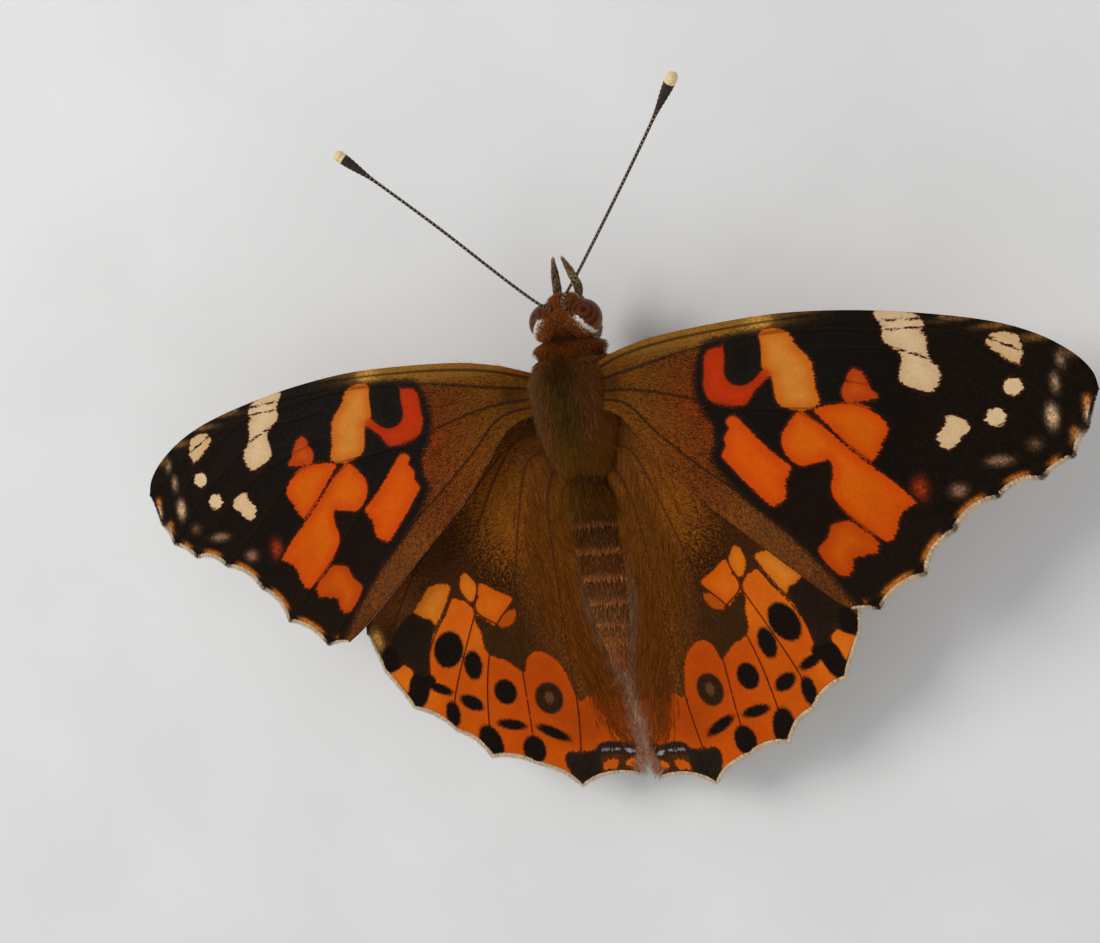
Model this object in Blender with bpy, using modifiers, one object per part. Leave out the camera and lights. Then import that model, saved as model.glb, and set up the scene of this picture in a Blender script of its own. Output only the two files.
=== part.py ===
"""A painted lady butterfly at rest with its wings spread, life size, standing on four legs.

The body frame has +Y towards the head, +X to the animal's right and +Z up. Its origin lies
between the wing roots, and body_frame carries it to its height over the floor, which is z = 0.
Lengths are given in millimetres, and MM turns them to metres where they enter a mesh.
Each wing has a frame of its own on its hinge, with s outward, t forward and lift upward.
"""

import math
from dataclasses import dataclass

import bmesh
import bpy
from mathutils import Matrix, Vector
from mathutils.geometry import delaunay_2d_cdt

MM = 0.001
RIGHT, LEFT = 1, -1
SIDE_NAMES = {RIGHT: "right", LEFT: "left"}

# Stance: where the body frame stands over the floor, in the part's own frame
BODY_AT = (0.33, 6.29, 8.0)
FLOOR = -BODY_AT[2]
GAP = 0.3
SHARP_ANGLE = 50.0
WELD = 1e-6

# Body, as sections along Y: y, height of the centre, half width, reach up, reach down
HEAD = (
    (2.55, -1.20, 1.20, 1.00, 1.15),
    (2.85, -1.15, 1.50, 1.20, 1.30),
    (3.50, -1.10, 1.30, 1.30, 1.40),
    (4.20, -1.10, 1.25, 1.15, 1.40),
    (4.75, -1.20, 1.00, 0.80, 1.20),
    (5.05, -1.30, 0.55, 0.40, 0.70),
)
COLLAR = (
    (1.25, -1.40, 2.40, 1.95, 1.95),
    (1.65, -1.35, 2.45, 1.85, 1.90),
    (2.00, -1.30, 2.10, 1.50, 1.65),
    (2.25, -1.25, 1.50, 1.15, 1.30),
)
THORAX = (
    (-6.45, -2.15, 1.75, 1.45, 1.65),
    (-6.05, -2.10, 2.15, 1.90, 1.95),
    (-5.20, -2.00, 2.65, 2.45, 2.30),
    (-4.30, -1.90, 2.95, 2.55, 2.45),
    (-3.20, -1.80, 3.15, 2.65, 2.60),
    (-1.80, -1.70, 3.20, 2.75, 2.70),
    (-0.40, -1.60, 3.05, 2.65, 2.60),
    (0.50, -1.50, 2.70, 2.35, 2.30),
    (0.95, -1.45, 2.35, 2.00, 2.00),
)
BODY_SIDES = 24
BODY_SQUARENESS = 2.3

# Abdomen: y, height of the centre, half width, reach up and down at the middle of each ring
ABDOMEN_RINGS = (
    (-7.60, -2.45, 1.80, 1.75),
    (-9.30, -2.95, 2.10, 1.95),
    (-11.10, -3.35, 2.20, 2.05),
    (-12.90, -3.60, 2.15, 2.05),
    (-14.65, -3.70, 1.95, 1.85),
    (-16.25, -3.70, 1.65, 1.60),
    (-17.65, -3.65, 1.28, 1.28),
    (-18.85, -3.60, 0.88, 0.92),
)
ABDOMEN_FRONT = (-6.75, -2.20, 1.45, 1.40)
ABDOMEN_TIP = (-19.95, -3.50, 0.28, 0.32)
RING_STEP = 0.12
RING_LIP, RING_NOTCH = 0.14, 0.06

# Head parts
EYE_CENTRE = (1.25, 3.25, -1.15)
EYE_RADII = (1.27, 1.30, 1.40)
PALP_ROUTE = ((0.70, 4.30, -1.90), (0.74, 5.20, -2.10), (0.55, 6.30, -1.62), (0.34, 7.20, -1.09))
PALP_RADII = (0.30, 0.38, 0.32, 0.14)
PALP_STEP = 0.4
COIL_CENTRE = (0.0, 3.75, -4.05)
COIL_OUTER, COIL_INNER = 0.95, 0.30
COIL_TURNS = 1.1
COIL_START = 20.0
COIL_STEPS = 20
PROBOSCIS_ROOT = (0.0, 4.55, -2.10)
PROBOSCIS_RADIUS = 0.25

# Antenna: the route of its axis, as on the right side, with the outer end of each side's own.
# The radius swells from the shaft to the club by a sine that stops short at the round tip.
ANTENNA_ROUTE = (
    (0.50, 3.95, -0.20),
    (0.62, 4.20, 0.45),
    (1.00, 4.62, 1.02),
    (2.60, 6.25, 1.68),
    (5.97, 9.92, 3.15),
    (9.00, 13.15, 4.78),
)
ANTENNA_END = {RIGHT: (11.72, 16.25, 6.20), LEFT: (11.20, 15.38, 5.90)}
ANTENNA_STEP = 1.1
ANTENNA_SHAFT = 0.25
ANTENNA_CLUB = 0.56
CLUB_START = 0.84
CLUB_STOP = 0.93
CLUB_FULLNESS = 0.8

# Legs: hip, knee, ankle and toe on the right side, with the sole at the floor
SOLE_HEIGHT = 0.22
LEG_JOINTS = {
    "midleg": ((1.30, -1.70, -3.50), (5.00, -0.80, -3.70), (7.40, -0.50, None), (10.6, 0.30, None)),
    "hindleg": ((1.20, -4.00, -3.50), (4.90, -7.20, -3.90), (6.50, -11.0, None), (7.70, -14.8, None)),
}
FORELEG_ROUTE = ((0.85, 1.70, -2.60), (1.05, 2.30, -3.50), (0.95, 3.20, -3.90), (0.72, 4.05, -3.60))
FORELEG_RADII = (0.36, 0.42, 0.34, 0.25)
FORELEG_STEP = 0.5
TARSUS_JOINTS = 5

# Leg radii: each run's share of the way and the radius there
THIGH = ((0, 0.36), (0.3, 0.46), (0.6, 0.42), (0.87, 0.32))
KNEE_RADIUS = 0.31
SHIN = ((0.11, 0.28), (0.5, 0.30), (0.88, 0.30))
ANKLE_RADIUS = 0.28
TARSUS = ((0.15, 0.27), (0.9, 0.31))

# Claws and spurs: length, root radius, spread to the side, and where they start
CLAW_LENGTH, CLAW_RADIUS, CLAW_SPREAD, CLAW_SET_BACK = 0.50, 0.17, 0.45, 0.15
CLAW_DROP = 0.6 * SOLE_HEIGHT
SPUR_LENGTH, SPUR_RADIUS, SPUR_SPREAD, SPUR_LEAN, SPUR_START = 0.75, 0.16, 0.5, 0.35, 0.90

# Wing sheet: the membrane, and the veins raised out of its two faces
MEMBRANE = 0.50
VEIN_CREST = 0.95
VEIN_HALF_WIDTH = 0.36

# Wing net: spacing of the points along its lines, and the room that a vein's flank keeps
LEADING_STEP, TRAILING_STEP, VEIN_STEP = 2.4, 2.0, 2.0
SCALLOP_STEPS = 4
FLANK_ROOM = 0.9 * VEIN_HALF_WIDTH
EDGE_ROOM = 0.3
MERGE_WITHIN = 0.02

# Vein height: its share at the wing's edge, the way to its full height, and its fall outward
CREST_AT_EDGE, CREST_RUN, CREST_FALL = 0.25, 1.2, 0.012


@dataclass(frozen=True)
class WingSet:
    """One pair of wings: how it hangs on the body, its outline and its veins.

    hinge is right and left, since the left wing is held out a little further than the right one.
    dihedral lifts the tip, pitch lowers the edge behind, and sweep turns the left wing in its plane.
    margin lists the vein tips along the outer edge, each with the depth of the scallop after it.
    """

    hinge: dict
    dihedral: float
    pitch: float
    sweep: dict
    leading: tuple
    margin: tuple
    trailing: tuple
    veins: dict


FORE = WingSet(
    hinge={RIGHT: (2.6, 3.0, 0.5), LEFT: (3.4, 3.0, 0.5)},
    dihedral=-1.6,
    pitch=-4.0,
    sweep={RIGHT: 0.0, LEFT: -1.0},
    leading=(
        (-1.6, -3.1), (0.3, -2.35), (1.6, -1.95), (4.0, -1.5), (8.0, -1.2), (12.0, -1.12), (16.0, -1.45),
        (20.0, -2.1), (24.0, -3.05), (26.6, -4.1), (28.5, -5.4), (29.5, -6.6), (29.78, -7.7),
    ),
    margin=(
        (29.78, -7.7, 0.04), (29.1, -9.85, 0.14), (28.2, -11.4, 0.14), (26.3, -12.55, 0.36),
        (23.8, -13.35, 0.38), (21.1, -15.1, 0.38), (19.2, -17.5, 0.36), (16.2, -19.35, 0.05),
        (14.5, -19.15, 0.0),
    ),
    trailing=(
        (14.5, -19.15), (13.3, -18.35), (11.0, -16.4), (8.5, -14.2), (6.0, -12.0), (4.0, -10.1),
        (2.3, -7.9), (0.8, -6.1), (-1.6, -5.2),
    ),
    veins={
        "costa": ((-1.2, -3.3), (1.5, -2.4), (5.0, -1.85), (10.0, -1.55), (14.0, -1.5)),
        "radius": (
            (-1.2, -3.9), (2.0, -3.35), (7.0, -2.5), (13.0, -2.25), (18.0, -2.8), (20.5, -3.1),
            (24.1, -4.15), (27.6, -6.2), (29.78, -7.7),
        ),
        "radius_1": ((10.8, -2.2), (14.5, -2.0), (19.8, -2.4), (22.6, -3.05)),
        "radius_5": ((20.5, -3.1), (22.8, -4.3), (25.0, -6.1), (27.4, -8.1), (29.1, -9.85)),
        "cell_end": ((13.6, -2.3), (14.6, -3.4), (14.9, -5.4), (13.3, -7.0)),
        "media_1": ((14.6, -3.4), (18.7, -4.05), (20.6, -4.95), (24.7, -7.9), (28.2, -11.4)),
        "media_2": ((14.9, -5.4), (18.0, -6.35), (20.6, -7.5), (23.0, -9.3), (26.3, -12.55)),
        "media_3": ((13.3, -7.0), (15.4, -6.9), (17.3, -7.7), (20.0, -10.1), (23.8, -13.35)),
        "cubitus": ((-1.2, -4.4), (2.5, -4.7), (7.0, -5.9), (10.0, -6.6), (13.3, -7.0)),
        "cubitus_1": ((12.3, -6.95), (14.0, -8.1), (17.0, -10.85), (19.1, -13.0), (21.1, -15.1)),
        "cubitus_2": ((8.7, -6.4), (10.4, -8.5), (14.9, -13.4), (16.8, -15.2), (19.2, -17.5)),
        "anal": (
            (-1.2, -4.9), (1.4, -5.4), (3.6, -7.6), (6.3, -10.0), (8.6, -11.8), (12.2, -15.3),
            (14.2, -17.3), (16.2, -19.35),
        ),
    },
)
HIND = WingSet(
    hinge={RIGHT: (2.4, -1.0, -0.5), LEFT: (3.2, -1.0, -0.5)},
    dihedral=9.0,
    pitch=7.75,
    sweep={RIGHT: 0.0, LEFT: -4.4},
    leading=(
        (-1.4, -2.1), (0.6, -1.3), (3.0, -0.9), (6.0, -1.3), (9.0, -2.9), (11.8, -5.7), (13.7, -9.1),
        (14.7, -12.3), (15.0, -14.2),
    ),
    margin=(
        (15.0, -14.2, 0.0), (14.5, -17.1, 0.08), (13.1, -20.0, 0.26), (10.5, -22.05, 0.28),
        (8.4, -24.35, 0.26), (5.4, -25.25, 0.26), (2.6, -27.3, 0.42), (-1.5, -26.85, 0.28),
    ),
    trailing=(
        (-1.5, -26.85), (-2.2, -25.3), (-2.5, -23.4), (-2.4, -21.3), (-1.8, -19.3), (-1.0, -17.0),
        (-0.5, -14.0), (-0.3, -10.5), (-0.4, -7.6), (-1.4, -5.9),
    ),
    veins={
        "subcosta": ((-1.0, -2.4), (2.0, -1.9), (7.5, -3.6), (11.5, -8.0), (13.6, -12.0), (15.0, -14.2)),
        "radius": ((2.4, -3.6), (6.0, -6.6), (10.0, -10.0), (12.8, -13.8), (14.5, -17.1)),
        "media": (
            (-1.0, -3.1), (1.2, -3.0), (3.2, -5.0), (5.4, -8.2), (7.3, -10.6), (8.6, -13.0),
            (10.3, -15.2), (11.6, -17.4), (13.1, -20.0),
        ),
        "media_3": ((6.9, -13.8), (8.0, -15.8), (9.2, -18.1), (10.0, -19.9), (10.5, -22.05)),
        "cell_end": ((7.3, -10.6), (6.4, -12.0), (6.9, -13.8), (5.7, -15.0)),
        "cubitus": (
            (-1.0, -3.8), (1.0, -4.6), (2.4, -8.0), (3.6, -11.8), (4.1, -13.4), (5.7, -15.0),
            (6.7, -16.9), (7.6, -19.9), (8.4, -24.35),
        ),
        "cubitus_2": ((3.8, -12.4), (4.2, -15.0), (4.7, -18.2), (5.0, -21.8), (5.4, -25.25)),
        "anal": ((-1.0, -4.5), (0.3, -7.5), (0.8, -12.0), (1.3, -17.5), (1.6, -22.0), (2.6, -27.3)),
    },
)
CAMBER = 0.60
CAMBER_CENTRE, CAMBER_REACH = (14.5, -7.5), (10.0, 6.5)
ROOT_DIP, ROOT_RUN = 0.85, 2.4
WING_SPACING = 1.15
BEND_SOFTNESS = 0.3
MEETING_LINE = 0.25


def clear_scene():
    """Removes the objects of the scene that the script starts in."""
    for old in list(bpy.data.objects):
        bpy.data.objects.remove(old, do_unlink=True)


def paint(name, colour, roughness, metallic=0.0):
    """A Principled material of one colour."""
    made = bpy.data.materials.new(name)
    made.use_nodes = True
    shader = made.node_tree.nodes["Principled BSDF"]
    shader.inputs["Base Color"].default_value = (*colour, 1.0)
    shader.inputs["Roughness"].default_value = roughness
    shader.inputs["Metallic"].default_value = metallic
    return made


def catmull(points, spacing):
    """Points along a smooth curve through the given ones, no further apart than spacing."""
    points = [Vector(point) for point in points]
    ends = [2 * points[0] - points[1], *points, 2 * points[-1] - points[-2]]
    found = []
    for before, start, end, after in zip(ends, ends[1:], ends[2:], ends[3:]):
        steps = max(1, math.ceil((end - start).length / spacing))
        for step in range(steps):
            u = step / steps
            found.append(
                start
                + 0.5 * u * (end - before)
                + u * u * (before - 2.5 * start + 2 * end - 0.5 * after)
                + 0.5 * u**3 * (3 * start - 3 * end + after - before)
            )
    return [*found, points[-1]]


def blend(values, u):
    """Reads a list of values, spread evenly over 0 to 1, at u."""
    place = min(max(u, 0.0), 1.0) * (len(values) - 1)
    low = min(int(place), len(values) - 2)
    return values[low] + (values[low + 1] - values[low]) * (place - low)


class Builder:
    """Makes the named objects, each a child of the body frame and in the butterfly's collection."""

    def __init__(self):
        self.collection = bpy.data.collections.new("painted_lady")
        bpy.context.scene.collection.children.link(self.collection)
        self.frame = bpy.data.objects.new("body_frame", None)
        self.frame.location = Vector(BODY_AT) * MM
        self.collection.objects.link(self.frame)

    def add(self, name, mesh, material=None, placing=None):
        """Puts a mesh in the scene as an object of its own."""
        made = bpy.data.objects.new(name, mesh)
        self.collection.objects.link(made)
        made.parent = self.frame
        if placing is not None:
            made.matrix_local = placing
        if material is not None:
            mesh.materials.clear()
            mesh.materials.append(material)
        return made

    def bake(self, made):
        """Applies an object's modifiers and keeps its largest closed surface."""
        bpy.context.view_layer.update()
        graph = bpy.context.evaluated_depsgraph_get()
        mesh = bpy.data.meshes.new_from_object(made.evaluated_get(graph))
        made.modifiers.clear()
        made.data = mesh
        keep_largest(mesh)
        return made

    def tube(self, name, route, radii, material, resolution=2):
        """A round tube along a route, with a radius for each point, closed at both ends."""
        curve = bpy.data.curves.new(name, "CURVE")
        curve.dimensions = "3D"
        curve.bevel_depth = MM
        curve.bevel_resolution = resolution
        curve.use_fill_caps = True
        spline = curve.splines.new("POLY")
        spline.points.add(len(route) - 1)
        for point, place, radius in zip(spline.points, route, radii):
            point.co = (*(Vector(place) * MM), 1.0)
            point.radius = radius
        drawn = self.add(name + "_curve", curve)
        bpy.context.view_layer.update()
        graph = bpy.context.evaluated_depsgraph_get()
        mesh = bpy.data.meshes.new_from_object(drawn.evaluated_get(graph))
        bpy.data.objects.remove(drawn, do_unlink=True)
        with_mesh(mesh, lambda form: bmesh.ops.remove_doubles(form, verts=form.verts, dist=WELD))
        return self.add(name, mesh, material)

    def loft(self, name, sections, material):
        """A closed body through oval sections that stand across Y, flat at both ends."""
        form = bmesh.new()
        rings = [[form.verts.new(point * MM) for point in oval(*section)] for section in sections]
        for ring, following in zip(rings, rings[1:]):
            for index in range(BODY_SIDES):
                other = (index + 1) % BODY_SIDES
                form.faces.new((ring[index], ring[other], following[other], following[index]))
        form.faces.new(rings[0])
        form.faces.new(rings[-1])
        bmesh.ops.recalc_face_normals(form, faces=form.faces)
        mesh = bpy.data.meshes.new(name)
        form.to_mesh(mesh)
        form.free()
        return self.add(name, mesh, material)

    def ellipsoid(self, name, centre, radii, material, across=18, along=12):
        """A sphere stretched to three radii, with its poles at the sides."""
        form = bmesh.new()
        placing = Matrix.Translation(Vector(centre) * MM)
        placing = placing @ Matrix.Diagonal((*(Vector(radii) * MM), 1.0))
        placing = placing @ Matrix.Rotation(math.pi / 2, 4, "Y")
        bmesh.ops.create_uvsphere(form, u_segments=across, v_segments=along, radius=1.0, matrix=placing)
        mesh = bpy.data.meshes.new(name)
        form.to_mesh(mesh)
        form.free()
        return self.add(name, mesh, material)

    def spike(self, name, root, tip, radius):
        """A thin cone from root to tip."""
        root, tip = Vector(root) * MM, Vector(tip) * MM
        form = bmesh.new()
        turn = Vector((0, 0, 1)).rotation_difference(tip - root).to_matrix().to_4x4()
        placing = Matrix.Translation((root + tip) / 2) @ turn
        bmesh.ops.create_cone(
            form,
            cap_ends=True,
            segments=6,
            radius1=radius * MM,
            radius2=radius * MM * 0.25,
            depth=(tip - root).length,
            matrix=placing,
        )
        mesh = bpy.data.meshes.new(name)
        form.to_mesh(mesh)
        form.free()
        return self.add(name, mesh)

    def fuse(self, made, pieces):
        """Joins closed pieces to an object by one union, and removes them."""
        group = bpy.data.collections.new(made.name + "_pieces")
        bpy.context.scene.collection.children.link(group)
        for piece in pieces:
            group.objects.link(piece)
        union = made.modifiers.new("join", "BOOLEAN")
        union.operation = "UNION"
        union.operand_type = "COLLECTION"
        union.collection = group
        self.bake(made)
        for piece in pieces:
            bpy.data.objects.remove(piece, do_unlink=True)
        bpy.data.collections.remove(group)

    def cut_clear(self, made, neighbour, gap=GAP):
        """Cuts an object back until it stands a gap away from its neighbour."""
        swollen = self.add(made.name + "_cutter", neighbour.data.copy(), placing=neighbour.matrix_local)
        swell = swollen.modifiers.new("swell", "DISPLACE")
        swell.mid_level = 0.0
        swell.strength = gap * MM
        self.bake(swollen)
        cut = made.modifiers.new("cut", "BOOLEAN")
        cut.operation = "DIFFERENCE"
        cut.object = swollen
        self.bake(made)
        bpy.data.objects.remove(swollen, do_unlink=True)


def with_mesh(mesh, change):
    """Runs one change on a mesh through bmesh."""
    form = bmesh.new()
    form.from_mesh(mesh)
    change(form)
    form.to_mesh(mesh)
    form.free()


def keep_largest(mesh):
    """Drops every loose scrap of a mesh, so that one closed surface is left."""

    def drop(form):
        left = set(form.verts)
        islands = []
        while left:
            island, edge = set(), [left.pop()]
            while edge:
                vertex = edge.pop()
                island.add(vertex)
                near = {link.other_vert(vertex) for link in vertex.link_edges}
                edge.extend(near & left)
                left -= near
            islands.append(island)
        islands.sort(key=len)
        scraps = [vertex for island in islands[:-1] for vertex in island]
        bmesh.ops.delete(form, geom=scraps, context="VERTS")

    with_mesh(mesh, drop)


def oval(y, height, half_width, up, down):
    """The points of one body section, a little squarer than an ellipse."""
    power = 2.0 / BODY_SQUARENESS
    points = []
    for index in range(BODY_SIDES):
        angle = 2 * math.pi * (index + 0.5) / BODY_SIDES
        across = math.copysign(abs(math.cos(angle)) ** power, math.cos(angle))
        rise = math.copysign(abs(math.sin(angle)) ** power, math.sin(angle))
        reach = up if rise > 0 else down
        points.append(Vector((half_width * across, y, height + reach * rise)))
    return points


def abdomen_sections():
    """The abdomen's sections: each ring swells in its middle and steps in where the next begins."""
    middles = [ABDOMEN_FRONT, *ABDOMEN_RINGS, ABDOMEN_TIP]
    sections = [(ABDOMEN_FRONT[0], *ABDOMEN_FRONT[1:3], *[ABDOMEN_FRONT[3]] * 2)]
    for here, after in zip(middles[1:], middles[2:]):
        y, height, half_width, reach = here
        sections.append((y, height, half_width, reach, reach))
        border = [(a + b) / 2 for a, b in zip(here, after)]
        for shift, step in ((RING_LIP, 0.0), (-RING_NOTCH, -RING_STEP)):
            y, height, half_width, reach = border
            sections.append((y + shift, height, half_width + step, reach + step, reach + step))
    y, height, half_width, reach = ABDOMEN_TIP
    sections.append((y, height, half_width, reach, reach))
    return sections


def mirrored(point, side):
    """A point of the right side, carried to the given side."""
    return Vector((point[0] * side, point[1], point[2]))


def make_antenna(builder, side, material, head):
    """The feeler: a thin shaft that swells to a long club."""
    knots = (*ANTENNA_ROUTE, ANTENNA_END[side])
    route = [mirrored(point, side) for point in catmull(knots, ANTENNA_STEP)]
    lengths = [0.0]
    for start, end in zip(route, route[1:]):
        lengths.append(lengths[-1] + (end - start).length)
    radii = []
    for length in lengths:
        u = length / lengths[-1]
        club = max(0.0, (u - CLUB_START) / (1 - CLUB_START))
        swelling = math.sin(math.pi * min(club, CLUB_STOP)) ** CLUB_FULLNESS if club > 0 else 0.0
        radii.append(ANTENNA_SHAFT + (ANTENNA_CLUB - ANTENNA_SHAFT) * swelling)
    made = builder.tube("antenna_" + SIDE_NAMES[side], route, radii, material)
    builder.cut_clear(made, head)


def make_palp(builder, side, material, head):
    """One of the two scaly palps that point forward between the feelers."""
    route = [mirrored(point, side) for point in catmull(PALP_ROUTE, PALP_STEP)]
    radii = [blend(PALP_RADII, index / (len(route) - 1)) for index in range(len(route))]
    made = builder.tube("palp_" + SIDE_NAMES[side], route, radii, material, resolution=3)
    builder.cut_clear(made, head)


def make_eye(builder, side, material, head, collar):
    """A domed eye that hugs the side of the head."""
    made = builder.ellipsoid("eye_" + SIDE_NAMES[side], mirrored(EYE_CENTRE, side), EYE_RADII, material)
    builder.cut_clear(made, head)
    builder.cut_clear(made, collar)


def make_proboscis(builder, material, head):
    """The drinking tube: from under the head forward and down into a flat coil."""
    centre = Vector(COIL_CENTRE)
    coil = []
    for index in range(COIL_STEPS + 1):
        u = index / COIL_STEPS
        angle = math.radians(COIL_START - 360 * COIL_TURNS * u)
        radius = COIL_OUTER + (COIL_INNER - COIL_OUTER) * u
        coil.append(centre + Vector((0, radius * math.cos(angle), radius * math.sin(angle))))
    route = [Vector(PROBOSCIS_ROOT), *coil]
    made = builder.tube("proboscis", route, [PROBOSCIS_RADIUS] * len(route), material)
    builder.cut_clear(made, head)


def leg_route(hip, knee, ankle, toe):
    """The axis and radii of a walking leg: swollen thigh, straight shin and a five-jointed foot."""
    stations = [(hip.lerp(knee, u), radius) for u, radius in THIGH]
    stations.append((knee, KNEE_RADIUS))
    stations += [(knee.lerp(ankle, u), radius) for u, radius in SHIN]
    stations.append((ankle, ANKLE_RADIUS))
    for joint in range(TARSUS_JOINTS):
        for part, radius in TARSUS:
            stations.append((ankle.lerp(toe, (joint + part) / TARSUS_JOINTS), radius))
    return [place for place, _ in stations], [radius for _, radius in stations]


def make_leg(builder, kind, side, material, thorax):
    """A walking leg that stands on the floor on a narrow flat sole."""
    on_floor = FLOOR + SOLE_HEIGHT
    joints = [(x, y, on_floor if z is None else z) for x, y, z in LEG_JOINTS[kind]]
    hip, knee, ankle, toe = (mirrored(joint, side) for joint in joints)
    name = f"{kind}_{SIDE_NAMES[side]}"
    made = builder.tube(name, *leg_route(hip, knee, ankle, toe), material)
    along, down = (toe - ankle).normalized(), (ankle - knee).normalized()
    across = along.cross(Vector((0, 0, 1)))
    spikes = []
    for turn in (-1, 1):
        claw = toe + CLAW_LENGTH * (along + CLAW_SPREAD * turn * across) - Vector((0, 0, CLAW_DROP))
        spikes.append(builder.spike(f"{name}_claw{turn}", toe - CLAW_SET_BACK * along, claw, CLAW_RADIUS))
        root = knee.lerp(ankle, SPUR_START)
        spur = root + SPUR_LENGTH * (down + SPUR_SPREAD * turn * across - SPUR_LEAN * along).normalized()
        spikes.append(builder.spike(f"{name}_spur{turn}", root, spur, SPUR_RADIUS))
    builder.fuse(made, spikes)
    builder.cut_clear(made, thorax)

    def flatten(form):
        geometry = [*form.verts, *form.edges, *form.faces]
        level = Vector((0, 0, FLOOR * MM))
        bmesh.ops.bisect_plane(form, geom=geometry, plane_co=level, plane_no=(0, 0, -1), clear_outer=True)
        rim = [edge for edge in form.edges if edge.is_boundary]
        bmesh.ops.holes_fill(form, edges=rim)

    with_mesh(made.data, flatten)


def make_foreleg(builder, side, material, collar):
    """A reduced, brush-like foreleg, too short to stand on and held up under the head."""
    route = [mirrored(point, side) for point in catmull(FORELEG_ROUTE, FORELEG_STEP)]
    radii = [blend(FORELEG_RADII, index / (len(route) - 1)) for index in range(len(route))]
    made = builder.tube("foreleg_" + SIDE_NAMES[side], route, radii, material)
    builder.cut_clear(made, collar)


def wing_placing(wing, side):
    """The wing's own frame in the body frame."""
    hinge = mirrored(wing.hinge[side], side) * MM
    turn = Matrix.Rotation(math.radians(-side * wing.dihedral), 4, "Y")
    turn = turn @ Matrix.Rotation(math.radians(wing.pitch), 4, "X")
    turn = turn @ Matrix.Rotation(math.radians(side * wing.sweep[side]), 4, "Z")
    return Matrix.Translation(hinge) @ turn


def fore_lift(s, t):
    """The forewing's gentle arch, and its dip down to the hinge."""
    along = (s - CAMBER_CENTRE[0]) / CAMBER_REACH[0]
    across = (t - CAMBER_CENTRE[1]) / CAMBER_REACH[1]
    return CAMBER * math.exp(-along * along - across * across) - ROOT_DIP * math.exp(-s / ROOT_RUN)


def hind_lift(s, t, side):
    """The hindwing is flat, but bends down to pass under the forewing with room to spare."""
    to_fore = wing_placing(FORE, side).inverted() @ wing_placing(HIND, side)
    above = to_fore @ Vector((side * s * MM, t * MM, 0)) / MM
    room = fore_lift(side * above.x, above.y) - above.z - WING_SPACING
    return -BEND_SOFTNESS * math.log(1 + math.exp(-room / BEND_SOFTNESS))


def wing_outline(wing):
    """The closed outline: leading edge, scalloped margin, trailing edge."""
    outline = catmull(wing.leading, LEADING_STEP)[:-1]
    for (s0, t0, dip), (s1, t1, _) in zip(wing.margin, wing.margin[1:]):
        start, end = Vector((s0, t0)), Vector((s1, t1))
        inward = Vector((t1 - t0, s0 - s1)).normalized()
        for step in range(SCALLOP_STEPS):
            u = step / SCALLOP_STEPS
            outline.append(start.lerp(end, u) + inward * dip * math.sin(math.pi * u))
    return outline + catmull(wing.trailing, TRAILING_STEP)


def distance_to_line(point, line):
    """How far a point lies from a line of straight runs."""
    best = math.inf
    for start, end in zip(line, line[1:]):
        run = end - start
        u = min(max((point - start).dot(run) / run.length_squared, 0.0), 1.0)
        best = min(best, (point - start - run * u).length)
    return best


def inside(point, outline):
    """Whether a point lies within a closed outline."""
    crossings = 0
    for start, end in zip(outline, [*outline[1:], outline[0]]):
        if (start.y > point.y) != (end.y > point.y):
            reach = start.x + (end.x - start.x) * (point.y - start.y) / (end.y - start.y)
            crossings += reach > point.x
    return crossings % 2 == 1


def wing_net(wing):
    """The wing's flat triangles, and how far each point rises towards a vein's crest, 0 to 1."""
    outline = wing_outline(wing)
    closed_outline = [*outline, outline[0]]
    crests = [catmull(vein, VEIN_STEP) for vein in wing.veins.values()]
    points, edges = list(outline), []

    def add_line(line):
        first = len(points)
        points.extend(line)
        edges.extend((first + index, first + index + 1) for index in range(len(line) - 1))

    for crest in crests:
        add_line(crest)
        for hand in (-1, 1):
            flank = []
            for before, here, after in zip(crest, crest[1:], crest[2:]):
                run = (after - before).normalized()
                place = here + hand * VEIN_HALF_WIDTH * Vector((-run.y, run.x))
                clear = all(distance_to_line(place, other) > FLANK_ROOM for other in crests)
                if clear and inside(place, outline) and distance_to_line(place, closed_outline) > EDGE_ROOM:
                    flank.append(place)
                elif flank:
                    add_line(flank)
                    flank = []
            if flank:
                add_line(flank)
    corners, _, faces, *_ = delaunay_2d_cdt(points, edges, [tuple(range(len(outline)))], 1, MERGE_WITHIN)
    raised = []
    for corner in corners:
        near = min(distance_to_line(corner, crest) for crest in crests)
        to_edge = distance_to_line(corner, closed_outline)
        strength = min(1.0, CREST_AT_EDGE + to_edge / CREST_RUN) * (1 - CREST_FALL * max(corner.x, 0.0))
        raised.append(max(0.0, 1 - near / VEIN_HALF_WIDTH) * strength)
    return corners, faces, raised


def make_wing(builder, name, wing, side, material, lift, body_parts):
    """One wing: a thin arched sheet with its veins raised on both faces, cut clear of the body."""
    corners, faces, raised = wing_net(wing)
    verts = [(side * corner.x * MM, corner.y * MM, lift(corner.x, corner.y) * MM) for corner in corners]
    mesh = bpy.data.meshes.new(name)
    mesh.from_pydata(verts, [], [face[::side] for face in faces])
    made = builder.add(name, mesh, material, wing_placing(wing, side))
    crest = made.vertex_groups.new(name="crest")
    for index, weight in enumerate(raised):
        crest.add([index], weight, "REPLACE")
    sheet = made.modifiers.new("sheet", "SOLIDIFY")
    sheet.thickness = VEIN_CREST * MM
    sheet.offset = 0.0
    sheet.vertex_group = "crest"
    sheet.thickness_vertex_group = MEMBRANE / VEIN_CREST
    builder.bake(made)
    if wing is HIND:
        trim_to_midline(made, side)
    for part in body_parts:
        builder.cut_clear(made, part)
    return made


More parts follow.
